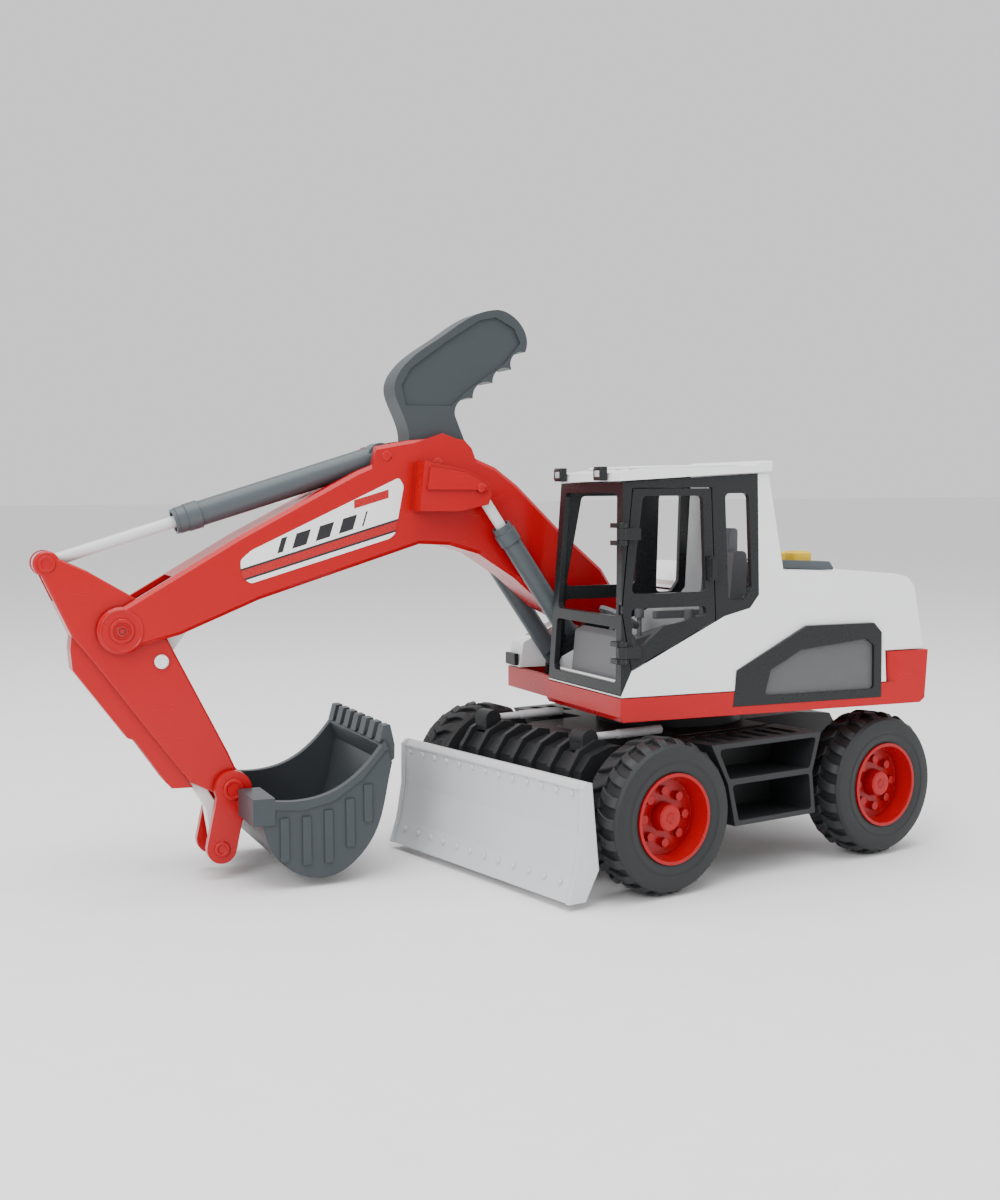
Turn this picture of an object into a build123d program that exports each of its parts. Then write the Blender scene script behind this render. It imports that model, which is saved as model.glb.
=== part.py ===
"""Toy wheeled excavator with a dozer blade.

A slewing cab body carries a two-piece digging arm, a carrying grip and a bucket. It stands on a
four-wheel undercarriage with a dozer blade. Lengths are in millimetres, +X points along the digging
arm, +Y to the machine's left (the cab side) and +Z up. Every sub-part is drawn about the slew axis
and moved into place when it is written.
"""

import os
from build123d import *

os.makedirs("parts", exist_ok=True)

# ---------------------------------------------------------------- driving dimensions
SLEW = 12.0  # the undercarriage is turned this far under the cab body
SLEW_X = -87.14  # slew axis, measured from the middle of the overall box

WHEEL_R = 32.5
WHEEL_W = 22.9
WHEELBASE = 125.3
TRACK_OUT = 77.1  # from the middle plane to the wheels' outer faces
RIM_R = 18.85
AXLE_R = 2.0
RUN = 0.06  # radial clearance of a running fit
WALL = 2.2  # moulded wall

CHASSIS_BOTTOM = 40.0
CHASSIS_TOP = 60.0
RING_TOP = 66.0
TRAY_BOTTOM = 70.0
BELT_TOP = 80.0
BODY_HALF = 68.0
REAR_BELT_TOP = 93.8

ARM_Y = -29.0  # middle plane of the digging arm
BOOM_HALF = 13.0
STICK_HALF = 8.6
CHEEK_IN = 9.0
RAM_DY = 19.0  # boom rams, each side of the arm's middle plane
BUCKET_HALF = 41.5

BOOM_FOOT = (12.0, 96.0)
RAM_FOOT = (36.0, 84.0)
RAM_TOP = (92.0, 167.5)
STICK_PIVOT = (248.5, 109.1)
STICK_RAM_REAR = (132.0, 182.0)
STICK_RAM_TOP = (277.5, 137.5)
GRIP_PIVOT = (108.0, 179.0)
LEVER_PIVOT = (231.8, 95.2)
BUCKET_PIVOT = (203.0, 39.0)
LINK_LOW = (208.5, 13.6)
LINK_HIGH = (220.5, 47.0)
BLADE_PIVOT = (77.5, 23.0)
BLADE_HALF = 69.6

UPPER = Location((SLEW_X, 0, 0))
LOWER = Location((SLEW_X, 0, 0), (0, 0, SLEW))


# ---------------------------------------------------------------- helpers
def slab(points, y_low, y_high, corner=0.0, mode=Mode.ADD):
    """A side outline, given as (x, z), pushed across from y_low to y_high."""
    with BuildSketch(Plane.XZ.offset(-y_high)) as outline:
        Polygon(*points, align=None)
        if corner:
            fillet(outline.vertices(), corner)
    extrude(outline.sketch, amount=y_high - y_low, mode=mode)


def front_slab(points, x_low, x_high, corner=0.0, mode=Mode.ADD):
    """A front outline, given as (y, z), pushed along from x_low to x_high."""
    with BuildSketch(Plane.YZ.offset(x_low)) as outline:
        Polygon(*points, align=None)
        if corner:
            fillet(outline.vertices(), corner)
    extrude(outline.sketch, amount=x_high - x_low, mode=mode)


def block(x_span, y_span, z_span, corner=0.0, mode=Mode.ADD):
    """A box between two values on each axis, its upright edges rounded by corner."""
    middle = ((x_span[0] + x_span[1]) / 2, (y_span[0] + y_span[1]) / 2)
    with BuildSketch(Plane.XY.offset(z_span[0])) as outline:
        with Locations(middle):
            Rectangle(x_span[1] - x_span[0], y_span[1] - y_span[0])
        if corner:
            fillet(outline.vertices(), corner)
    extrude(outline.sketch, amount=z_span[1] - z_span[0], mode=mode)


def rod_y(centre, radius, y_low, y_high, mode=Mode.ADD):
    """A round bar or bore across the machine, at centre (x, z)."""
    with BuildSketch(Plane.XZ.offset(-y_high)) as outline:
        with Locations(centre):
            Circle(radius)
    extrude(outline.sketch, amount=y_high - y_low, mode=mode)


def rod_z(centre, radius, z_low, z_high, mode=Mode.ADD):
    """An upright round bar or bore at centre (x, y)."""
    with BuildSketch(Plane.XY.offset(z_low)) as outline:
        with Locations(centre):
            Circle(radius)
    extrude(outline.sketch, amount=z_high - z_low, mode=mode)


def rod_along(start, end, y, radius, mode=Mode.ADD):
    """A round bar or bore in the plane at y, from start (x, z) to end (x, z)."""
    run = Vector(end[0] - start[0], 0, end[1] - start[1])
    with BuildSketch(Plane(origin=(start[0], y, start[1]), z_dir=run)) as outline:
        Circle(radius)
    extrude(outline.sketch, amount=run.length, mode=mode)


def bar_between(start, end, radius, y_low, y_high, mode=Mode.ADD):
    """A flat link with two round ends, between two centres (x, z)."""
    run = Vector(end[0] - start[0], end[1] - start[1])
    side = Vector(-run.Y, run.X) * (radius / run.length)
    low, high = Vector(*start), Vector(*end)
    corners = [low + side, low - side, high - side, high + side]
    with BuildSketch(Plane.XZ.offset(-y_high)) as outline:
        Polygon(*[(corner.X, corner.Y) for corner in corners], align=None)
        with Locations(start, end):
            Circle(radius)
    extrude(outline.sketch, amount=y_high - y_low, mode=mode)


def bevel_outer_face(shell, side, size, shortest):
    """Bevel the edges of the face farthest out on one side, leaving those under a shortest length."""
    farthest = shell.faces().filter_by(Axis.Y).sort_by(Axis.Y)[-1 if side == 1 else 0]
    chamfer(farthest.edges().filter_by(lambda edge: edge.length > shortest), size)


def along(start, end, distance):
    """The point (x, z) this far from start on the way to end."""
    run = Vector(end[0] - start[0], end[1] - start[1]).normalized()
    return (start[0] + run.X * distance, start[1] + run.Y * distance)


def write(sub_part, name, place):
    """Label a finished sub-part, move it from the slew axis into place and save it."""
    sub_part.part.label = name
    moved = sub_part.part.moved(place)
    moved.label = name
    export_step(moved, f"parts/{name}.step")


# ---------------------------------------------------------------- wheels
def wheel_plane(x, side):
    """A half-section plane of one wheel: local x runs outwards along the axle, local y is radial."""
    return Plane(origin=(x, 0, WHEEL_R), x_dir=(0, side, 0), z_dir=(side, 0, 0))


def turn_about_axle(points, x, side, corner=0.0, mode=Mode.ADD):
    """Turn a half-section, given as (distance out, radius), about the axle."""
    with BuildSketch(wheel_plane(x, side)) as section:
        Polygon(*points, align=None)
        if corner:
            fillet(section.vertices(), corner)
    revolve(section.sketch, Axis((x, 0, WHEEL_R), (0, 1, 0)), 360, mode=mode)


WHEEL_IN = TRACK_OUT - WHEEL_W
SHOULDER = 2.3
TYRE_SECTION = [
    (WHEEL_IN, RIM_R),
    (WHEEL_IN, WHEEL_R - 6),
    (WHEEL_IN + 0.7, WHEEL_R - 3),
    (WHEEL_IN + SHOULDER, WHEEL_R),
    (TRACK_OUT - SHOULDER, WHEEL_R),
    (TRACK_OUT - 0.7, WHEEL_R - 3),
    (TRACK_OUT, WHEEL_R - 6),
    (TRACK_OUT, RIM_R),
]
WEB_OUT = TRACK_OUT - 8.5  # outer face of the rim's disc
WEB_IN = WEB_OUT - 2.5
HUB_OUT = TRACK_OUT - 3.5
RIM_SECTION = [
    (WHEEL_IN - 1.5, AXLE_R),
    (WHEEL_IN - 1.5, 4.6),
    (WEB_IN, 5.0),
    (WEB_IN, RIM_R - 2.6),
    (WHEEL_IN + 0.2, RIM_R - 1.4),
    (WHEEL_IN, RIM_R),
    (TRACK_OUT, RIM_R),
    (TRACK_OUT, RIM_R - 1.4),
    (WEB_OUT, RIM_R - 3.2),
    (WEB_OUT, 6.2),
    (HUB_OUT - 0.6, 5.6),
    (HUB_OUT - 0.6, AXLE_R),
]

for end_name, wheel_x in (("front", WHEELBASE / 2), ("rear", -WHEELBASE / 2)):
    with BuildPart() as tyres:
        for side in (1, -1):
            turn_about_axle(TYRE_SECTION, wheel_x, side)
    write(tyres, f"tyres_{end_name}", LOWER)

    with BuildPart() as rims:
        for side in (1, -1):
            turn_about_axle(RIM_SECTION, wheel_x, side)
            boss_plane = Plane((wheel_x, side * WEB_OUT, WHEEL_R), z_dir=(0, side, 0))
            with BuildSketch(boss_plane) as bosses:
                with PolarLocations(10.8, 8):
                    Circle(1.9)
            extrude(bosses.sketch, amount=2.2)
    write(rims, f"rims_{end_name}", LOWER)

    with BuildPart() as hub_caps:
        for side in (1, -1):
            turn_about_axle(
                [(HUB_OUT - 0.6, 0), (HUB_OUT - 0.6, 5.4), (HUB_OUT + 0.6, 4.9), (HUB_OUT + 0.6, 0)],
                wheel_x,
                side,
            )
    write(hub_caps, f"hub_caps_{end_name}", LOWER)

    with BuildPart() as axle:
        rod_y((wheel_x, WHEEL_R), AXLE_R, -HUB_OUT + 0.6, HUB_OUT - 0.6)
    write(axle, f"axle_{end_name}", LOWER)

    with BuildPart() as housing:
        block((wheel_x - 8, wheel_x + 8), (-50, 50), (25, CHASSIS_BOTTOM), corner=2)
        rod_y((wheel_x, WHEEL_R), 10.0, -13, 13)
        for rib_y in (-40, -28, 28, 40):
            block((wheel_x - 8.8, wheel_x + 8.8), (rib_y - 1, rib_y + 1), (24, CHASSIS_BOTTOM))
        block((wheel_x - 12, wheel_x + 12), (-14, 14), (CHASSIS_BOTTOM, 50), mode=Mode.SUBTRACT)
        rod_y((wheel_x, WHEEL_R), AXLE_R + RUN, -60, 60, mode=Mode.SUBTRACT)
    write(housing, f"axle_housing_{end_name}", LOWER)


# ---------------------------------------------------------------- chassis
SPIGOT_R = 12.0
WASHER_R = 15.0
CHASSIS_SIDE = [
    (-88, 46),
    (-80, 58),
    (-60, CHASSIS_TOP),
    (60, CHASSIS_TOP),
    (65.7, 58.5),
    (65.7, CHASSIS_BOTTOM),
    (-80, CHASSIS_BOTTOM),
]

with BuildPart() as chassis_frame:
    slab(CHASSIS_SIDE, -26, 26)
    block((-22, 31), (-43.8, 43.8), (46, CHASSIS_TOP), corner=2)
    rod_z((0, 0), 16, CHASSIS_BOTTOM, 57.8, mode=Mode.SUBTRACT)
    rod_z((0, 0), SPIGOT_R + RUN, 50, 70, mode=Mode.SUBTRACT)
    for pocket_x in (-44, 44):
        block((pocket_x - 14, pocket_x + 14), (-21, 21), (CHASSIS_BOTTOM, 56), mode=Mode.SUBTRACT)
write(chassis_frame, "chassis_frame", LOWER)

with BuildPart() as turntable_ring:
    rod_z((0, 0), 34, CHASSIS_TOP, RING_TOP - 2)
    rod_z((0, 0), 31, RING_TOP - 2, RING_TOP)
    rod_z((0, 0), SPIGOT_R + RUN, 50, 70, mode=Mode.SUBTRACT)
write(turntable_ring, "turntable_ring", LOWER)

BELLY_FACE = 37.5
SCREW_R = 1.3
SCREW_HEAD_R = 2.4
SCREW_SEAT = 38.8  # the heads sit in the plate and stop short of its face
SCREW_SPOTS = [(x, y) for x in (-28, 28) for y in (-22, 22)]
with BuildPart() as belly_plate:
    block((-34, 34), (-26, 26), (BELLY_FACE, CHASSIS_BOTTOM), corner=3)
    for spot in SCREW_SPOTS:
        rod_z(spot, SCREW_R, BELLY_FACE, CHASSIS_BOTTOM, mode=Mode.SUBTRACT)
        rod_z(spot, SCREW_HEAD_R, BELLY_FACE, SCREW_SEAT, mode=Mode.SUBTRACT)
write(belly_plate, "belly_plate", LOWER)

with BuildPart() as belly_screws:
    for spot in SCREW_SPOTS:
        rod_z(spot, SCREW_R, SCREW_SEAT, CHASSIS_BOTTOM)
        rod_z(spot, SCREW_HEAD_R, BELLY_FACE + 0.2, SCREW_SEAT)
write(belly_screws, "belly_screws", LOWER)

STEP_SIDE = [(38.5, 59.6), (-26.2, 59.6), (-20.8, 42.2), (-22.8, 23.8), (25, 23.8), (29.2, 42.4)]
STEP_TOP_BAY = [(34.4, 57.4), (-23.2, 57.4), (-19.2, 44.2), (28, 44.2)]
STEP_LOW_BAY = [(26.8, 41.6), (-18.9, 41.6), (-20.4, 26), (22.9, 26)]
for side_name, side in (("left", 1), ("right", -1)):
    y_in, y_out = sorted((side * 44, side * 72))
    bay_in, bay_out = sorted((side * 46.2, side * 80))
    with BuildPart() as step_box:
        slab(STEP_SIDE, y_in, y_out)
        slab(STEP_TOP_BAY, bay_in, bay_out, corner=1.5, mode=Mode.SUBTRACT)
        slab(STEP_LOW_BAY, bay_in, bay_out, corner=1.5, mode=Mode.SUBTRACT)
        for slot_x in range(-15, 31, 9):
            block(
                (slot_x - 2.6, slot_x + 2.6),
                (side * 58 - 9, side * 58 + 9),
                (58.4, 60),
                corner=1,
                mode=Mode.SUBTRACT,
            )
    write(step_box, f"step_box_{side_name}", LOWER)


# ---------------------------------------------------------------- dozer blade
BRACKET_SIDE = [(66, CHASSIS_BOTTOM), (89, CHASSIS_BOTTOM), (87, 50), (82, 56), (72, 59), (66, 59)]
RIB_SIDE = [(70, 42), (91.5, 40.6), (90, 50), (84.5, 58), (76, 62), (70, 61)]
with BuildPart() as blade_bracket:
    slab(BRACKET_SIDE, -46, 46)
    for rib in range(-3, 4):
        slab(RIB_SIDE, rib * 13.5 - 1.2, rib * 13.5 + 1.2, corner=1)
    for ear_y in (-22.6, 22.6):
        slab([(73, 23), (73, 45), (82, 45), (82, 23)], ear_y - 2.4, ear_y + 2.4)
        rod_y(BLADE_PIVOT, 4.5, ear_y - 2.4, ear_y + 2.4)
        rod_y(BLADE_PIVOT, AXLE_R, ear_y - 9, ear_y + 9, mode=Mode.SUBTRACT)
    for lug_y in (-36, 36):
        rod_y((78, 62), 4.2, lug_y - 4.5, lug_y + 4.5)
        block((74, 82), (lug_y - 4.5, lug_y + 4.5), (57, 62))
write(blade_bracket, "blade_bracket", LOWER)

with BuildPart() as blade_pin:
    rod_y(BLADE_PIVOT, AXLE_R, -26, 26)
write(blade_pin, "blade_pin", LOWER)

with BuildPart() as blade_rams:
    for lug_y in (-36, 36):
        rod_along((73.6, 62), (50, 62), lug_y, 1.7)
        rod_along((66, 62), (36, 62), lug_y, 1.7)
        rod_along((60, 62), (36, 62), lug_y, 2.0)
write(blade_rams, "blade_rams", LOWER)

MOULDBOARD = [
    (110.6, 3.0),
    (106.8, 13.8),
    (103.9, 30),
    (103.6, 48.0),
    (101.6, 50.4),
    (99.6, 50.4),
    (99.6, 48.6),
    (101.4, 47.2),
    (101.6, 29),
    (104.4, 14.2),
    (107.6, 3.0),
]
END_PLATE = [
    (111.5, 3),
    (107.7, 14),
    (104.8, 30),
    (104.5, 48.8),
    (102, 50.8),
    (99.6, 50.4),
    (96.3, 15),
    (103, 3),
]
with BuildPart() as blade_plate:
    slab(MOULDBOARD, -BLADE_HALF + 1, BLADE_HALF - 1)
    for side in (1, -1):
        y_low, y_high = sorted((side * (BLADE_HALF - 2.2), side * BLADE_HALF))
        slab(END_PLATE, y_low, y_high)
write(blade_plate, "blade_plate", LOWER)

BLADE_ARM_SIDE = [(78, 18.5), (97, 14), (104.3, 14.2), (102, 27), (90, 30), (77, 27.5)]
with BuildPart() as blade_arms:
    for arm_y in (-17.2, 17.2):
        slab(BLADE_ARM_SIDE, arm_y - 2.5, arm_y + 2.5)
        rod_y(BLADE_PIVOT, 4.5, arm_y - 2.5, arm_y + 2.5)
    block((88, 97), (-17.2, 17.2), (17.5, 27))
    slab(MOULDBOARD, -80, 80, mode=Mode.SUBTRACT)
    rod_y(BLADE_PIVOT, AXLE_R + RUN, -30, 30, mode=Mode.SUBTRACT)
write(blade_arms, "blade_arms", LOWER)


# ---------------------------------------------------------------- cab body: red tray
GRILLE_SIDE = [(6.2, 73.6), (4.2, 89), (-31, 106.8), (-66, 106.8), (-70, 102.5), (-70, 73.6)]
GRILLE_PANE = [(-9.5, 77.5), (-12.5, 88.5), (-28, 96.5), (-62, 100), (-66, 97), (-66, 77.5)]
GRILLE_DEPTH = 2.6
TRAY_SIDE = [
    (58.6, TRAY_BOTTOM),
    (59.8, 72),
    (59.6, BELT_TOP),
    (-72.9, BELT_TOP),
    (-72.9, REAR_BELT_TOP),
    (-95.2, REAR_BELT_TOP),
    (-93.6, 72),
    (-91, TRAY_BOTTOM),
]
RIGHT_FRONT_X = 53.0  # the right front corner stands back from the cab


def cut_grille_notches():
    """Cut the two side notches that hold the grille surrounds."""
    for side in (1, -1):
        y_low, y_high = sorted((side * (BODY_HALF - GRILLE_DEPTH), side * (BODY_HALF + 5)))
        slab(GRILLE_SIDE, y_low, y_high, mode=Mode.SUBTRACT)


with BuildPart() as lower_tray:
    slab(TRAY_SIDE, -BODY_HALF, BODY_HALF)
    fillet(lower_tray.edges().filter_by(Axis.Z).group_by(Axis.X)[0], 6)
    block((RIGHT_FRONT_X, 70), (-80, -6.5), (60, 100), mode=Mode.SUBTRACT)
    block((-68, 50.6), (-BODY_HALF + WALL + 2.6, -4), (72.4, 100), mode=Mode.SUBTRACT)
    block((-68, 57), (-6, BODY_HALF - WALL - 2.6), (72.4, 100), mode=Mode.SUBTRACT)
    block((-93, -75.5), (-BODY_HALF + 3, BODY_HALF - 3), (72.4, 100), mode=Mode.SUBTRACT)
    cut_grille_notches()
    rod_z((0, 0), 30, RING_TOP + 0.2, TRAY_BOTTOM)
    for post_x, post_y in ((50, 30), (-60, 50), (-60, -50)):
        rod_z((post_x, post_y), 3.5, 72.4, BELT_TOP)
write(lower_tray, "lower_tray", UPPER)

with BuildPart() as kingpin:
    rod_z((0, 0), SPIGOT_R, 57.4, RING_TOP + 0.2)
    rod_z((0, 0), WASHER_R, 54.6, 57.4)
    rod_z((0, 0), 4, 52, 54.6)
write(kingpin, "kingpin", UPPER)

with BuildPart() as front_step:
    block((RIGHT_FRONT_X, RIGHT_FRONT_X + 2), (-66.4, -55), (81.4, 87))
write(front_step, "front_step", UPPER)


# ---------------------------------------------------------------- cab body: white shell
SHELL_BOTTOM = BELT_TOP + 0.4
DRAFT = 0.0662  # the body's and the cab's sides lean in by this much per millimetre of height
CAB_RIGHT = -4.5
BAY_RIGHT = -53.5
CAB_TOP_FRONT = 169.4
CAB_TOP_REAR = 173.2
CAB_GAP = 2.6
DOOR_LINE = [(54.4, 91), (9, 112.4), (-3.5, 115.4), (-8.2, 121), (-9.5, 175)]
HOOD_SIDE = [
    (-4.0, SHELL_BOTTOM),
    (-4.0, 120.6),
    (-20.8, 131),
    (-79.4, 128.2),
    (-86, 126.6),
    (-89.6, 122.5),
    (-93.6, REAR_BELT_TOP + 0.4),
    (-72.6, REAR_BELT_TOP + 0.4),
    (-72.6, SHELL_BOTTOM),
]
HOOD_INSIDE = [
    (-6.4, SHELL_BOTTOM - 1),
    (-6.4, 119.2),
    (-21, 128.4),
    (-79, 125.8),
    (-84.5, 124.4),
    (-87.2, 121.5),
    (-91, REAR_BELT_TOP - 1),
    (-70, REAR_BELT_TOP - 1),
    (-70, SHELL_BOTTOM - 1),
]


def leaning(y_right, y_left, z_low, z_high):
    """A front outline (y, z) whose two sides lean in by the draft from the shell's bottom up."""
    low = (z_low - SHELL_BOTTOM) * DRAFT
    high = (z_high - SHELL_BOTTOM) * DRAFT
    return [(y_right + low, z_low), (y_left - low, z_low), (y_left - high, z_high), (y_right + high, z_high)]


def cab_block(inset):
    """The cab's tapered block, made smaller by inset on its four upright faces and top."""
    side_outline = [
        (59.6 - inset, SHELL_BOTTOM - inset),
        (55.6 - inset, CAB_TOP_FRONT + inset),
        (-15.0 + inset, CAB_TOP_REAR + inset),
        (-20.8 + inset, 131),
        (-27.7 + inset, SHELL_BOTTOM - inset),
    ]
    front_outline = leaning(CAB_RIGHT + inset, BODY_HALF - inset, SHELL_BOTTOM - inset, CAB_TOP_REAR + inset)
    slab(side_outline, -20, 80)
    front_slab(front_outline, -40, 80, mode=Mode.INTERSECT)


with BuildPart() as cab_outside:
    cab_block(0)

with BuildPart() as cab_inside:
    cab_block(CAB_GAP)

with BuildPart() as cab_clearance:
    cab_block(-0.25)

WHITE_REGION = [(70, 70), (59.9, SHELL_BOTTOM)] + DOOR_LINE + [(-120, 175), (-120, 70)]
REAR_WINDOW = [(14, 134), (50, 134), (48, 165), (16, 165)]
RIGHT_BOX = [
    (RIGHT_FRONT_X, SHELL_BOTTOM),
    (RIGHT_FRONT_X - 2, 92),
    (44, 101),
    (20, 116),
    (-5, 126),
    (-5, SHELL_BOTTOM),
]

with BuildPart() as hood_block:
    slab(HOOD_SIDE, -BODY_HALF, BODY_HALF)
    front_slab(leaning(-BODY_HALF, BODY_HALF, SHELL_BOTTOM, 140), -100, 80, mode=Mode.INTERSECT)

with BuildPart() as hood_hollow:
    slab(HOOD_INSIDE, -BODY_HALF, BODY_HALF)
    inside_half = BODY_HALF - GRILLE_DEPTH - WALL
    front_slab(leaning(-inside_half, inside_half, SHELL_BOTTOM - 2, 140), -100, 80, mode=Mode.INTERSECT)

with BuildPart() as body_shell:
    add(hood_block.part)
    add(hood_hollow.part, mode=Mode.SUBTRACT)
    slab(RIGHT_BOX, -BODY_HALF, BAY_RIGHT)
    slab(
        [(50, 70), (48.5, 91), (42.5, 98.8), (19, 113.4), (-4, 123), (-4, 70)],
        -BODY_HALF + 3.2,
        BAY_RIGHT - WALL,
        mode=Mode.SUBTRACT,
    )
    front_slab(leaning(-BODY_HALF, BODY_HALF, SHELL_BOTTOM, 140), -100, 80, mode=Mode.INTERSECT)
    add(cab_outside.part)
    add(cab_inside.part, mode=Mode.SUBTRACT)
    slab(WHITE_REGION, -100, 100, mode=Mode.INTERSECT)
    front_slab(REAR_WINDOW, -30, -8, corner=3, mode=Mode.SUBTRACT)
    cut_grille_notches()
    for slot_x in (-38.0, -52.0):
        block((slot_x - 5.6, slot_x + 5.6), (20.4, 33.6), (120, 140), corner=2, mode=Mode.SUBTRACT)
write(body_shell, "body_shell", UPPER)

with BuildPart() as grille_surrounds:
    for side in (1, -1):
        y_low, y_high = sorted((side * (BODY_HALF - GRILLE_DEPTH), side * (BODY_HALF + 0.1)))
        slab(GRILLE_SIDE, y_low, y_high)
        y_low, y_high = sorted((side * (BODY_HALF - 9), side * (BODY_HALF + 9)))
        slab(GRILLE_PANE, y_low, y_high, corner=1.5, mode=Mode.SUBTRACT)
write(grille_surrounds, "grille_surrounds", UPPER)

with BuildPart() as grille_meshes:
    for side in (1, -1):
        y_low, y_high = sorted((side * (BODY_HALF - 2.4), side * (BODY_HALF - 1.4)))
        slab(GRILLE_PANE, y_low, y_high, corner=1.5)
write(grille_meshes, "grille_meshes", UPPER)

DECK_SIDE = [(-27, 131.0), (-30, 134.4), (-60, 133.2), (-63, 129.2)]
with BuildPart() as control_deck:
    slab(DECK_SIDE, 12, 42, corner=0.8)
    slab(HOOD_SIDE, -80, 80, mode=Mode.SUBTRACT)
    for slot_x in (-38.0, -52.0):
        block((slot_x - 5.3, slot_x + 5.3), (20.7, 33.3), (120, 140), corner=1.8, mode=Mode.SUBTRACT)
write(control_deck, "control_deck", UPPER)

for name, slot_x in (("button_front", -38.0), ("button_rear", -52.0)):
    with BuildPart() as button:
        block((slot_x - 5.0, slot_x + 5.0), (21, 33), (126, 137.4), corner=1.6)
        fillet(button.faces().sort_by(Axis.Z)[-1].edges(), 0.8)
        block((slot_x - 6.4, slot_x + 6.4), (19.6, 34.4), (123.4, 125.4), corner=1)
        block((slot_x - 4, slot_x + 4), (23, 31), (125.4, 126))
    write(button, name, UPPER)

with BuildPart() as sound_unit:
    block((-66, -26), (8, 46), (100, 102))
    rod_z((-46, 27), 13, 80, 99)
    rod_z((-46, 27), 3, 98, 101)
write(sound_unit, "sound_unit", UPPER)

with BuildPart() as battery_door:
    block((-64, -36), (-30, 30), (TRAY_BOTTOM - 1.6, TRAY_BOTTOM), corner=2)
write(battery_door, "battery_door", UPPER)


# ---------------------------------------------------------------- cab
DOOR = [(54.2, 91.8), (57.6, 116), (50.8, 166.6), (13.8, 166.6), (13.8, 110.9)]
DOOR_GAP = [(54.6, 90.9), (58.2, 116), (51.3, 167.1), (13.3, 167.1), (13.3, 110.4)]
UPPER_PANE = [(53.2, 123), (46.4, 163.6), (18, 163.6), (18, 123)]
LOWER_PANE = [(53.6, 117), (18, 117), (18, 113), (38.5, 109.4), (53.2, 98)]
QUARTER_PANE = [(7, 119), (7, 164.5), (-4.6, 164.5), (-4.6, 124), (-1, 119)]
SHIELD_TOP = [(2.7, 113.6), (60.8, 113.6), (57.2, 165), (6.3, 165)]
SHIELD_LOW = [(0.9, 85.8), (62.6, 85.8), (61.2, 109), (2.3, 109)]
HINGE = (58.6, 67.6)
HINGE_R = 1.0
KNUCKLE_R = 2.0
KNUCKLE_HALF = 2.4
HINGE_HEIGHTS = (99.0, 148.0)
LAYER_TOP = 180.0


def side_lean(z):
    """How far the left wall's outer face stands from the middle plane at height z."""
    return BODY_HALF - (z - SHELL_BOTTOM) * DRAFT


def side_layer(depth, mode=Mode.ADD):
    """The outermost layer of the left wall, this deep."""
    layer = [
        (side_lean(SHELL_BOTTOM) - depth, SHELL_BOTTOM),
        (90, SHELL_BOTTOM),
        (90, LAYER_TOP),
        (side_lean(LAYER_TOP) - depth, LAYER_TOP),
    ]
    front_slab(layer, -60, 90, mode=mode)


with BuildPart() as door_opening:
    slab(DOOR_GAP, 40, 90)
    side_layer(CAB_GAP + 0.3, mode=Mode.INTERSECT)

with BuildPart() as cab_frame:
    add(cab_outside.part)
    add(cab_inside.part, mode=Mode.SUBTRACT)
    slab(WHITE_REGION, -100, 100, mode=Mode.SUBTRACT)
    add(door_opening.part, mode=Mode.SUBTRACT)
    for z in HINGE_HEIGHTS:
        rod_z(HINGE, KNUCKLE_R + 0.3, z - KNUCKLE_HALF - 0.4, z + KNUCKLE_HALF + 0.4, mode=Mode.SUBTRACT)
    for pane in (UPPER_PANE, LOWER_PANE):
        slab(pane, -20, 20, corner=2, mode=Mode.SUBTRACT)
    slab(QUARTER_PANE, -20, 90, corner=2.2, mode=Mode.SUBTRACT)
    for pane in (SHIELD_TOP, SHIELD_LOW):
        front_slab(pane, 40, 80, corner=2.5, mode=Mode.SUBTRACT)
write(cab_frame, "cab_frame", UPPER)

with BuildPart() as cab_door:
    add(cab_outside.part)
    add(cab_inside.part, mode=Mode.SUBTRACT)
    slab(DOOR, 40, 90, mode=Mode.INTERSECT)
    side_layer(CAB_GAP, mode=Mode.INTERSECT)
    for pane in (UPPER_PANE, LOWER_PANE):
        slab(pane, 40, 90, corner=2, mode=Mode.SUBTRACT)
write(cab_door, "cab_door", UPPER)

with BuildPart() as door_hinges:
    for z in HINGE_HEIGHTS:
        rod_z(HINGE, HINGE_R, z - 5, z + 5)
        for lug_z in (z - 4.6, z + 2.6):
            rod_z(HINGE, KNUCKLE_R, lug_z, lug_z + 2)
            block((56.2, 61.2), (61.5, HINGE[1]), (lug_z, lug_z + 2))
    add(cab_outside.part, mode=Mode.SUBTRACT)
write(door_hinges, "door_hinges", UPPER)

with BuildPart() as door_knuckles:
    for z in HINGE_HEIGHTS:
        rod_z(HINGE, KNUCKLE_R, z - KNUCKLE_HALF, z + KNUCKLE_HALF)
        leaf_span = (side_lean(z), HINGE[1] + 1.2)
        block((50.6, HINGE[0]), leaf_span, (z - KNUCKLE_HALF, z + KNUCKLE_HALF))
        rod_z(HINGE, HINGE_R + RUN, z - 9, z + 9, mode=Mode.SUBTRACT)
    add(cab_clearance.part, mode=Mode.SUBTRACT)
    block((14.6, 17.4), (58, 68), (128, 138))
    block((14.9, 17.1), (66, 69.4), (129, 137))
    add(cab_outside.part, mode=Mode.SUBTRACT)
write(door_knuckles, "door_knuckles", UPPER)

ROOF_SIDE = [
    (58.2, 169.8),
    (57.4, 173.4),
    (42, 175.2),
    (-7, 176.2),
    (-12.6, 178.4),
    (-16.2, 178.4),
    (-15.6, 173.8),
]
with BuildPart() as cab_roof:
    slab(ROOF_SIDE, 0.4, 63.4)
    fillet(cab_roof.faces().sort_by(Axis.Z)[-1].edges(), 0.8)
write(cab_roof, "cab_roof", UPPER)

with BuildPart() as roof_lamps:
    for lamp_y in (10.0, 50.0):
        block((58.3, 61.4), (lamp_y - 4, lamp_y + 4), (170.2, 176), corner=1)
write(roof_lamps, "roof_lamps", UPPER)

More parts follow.
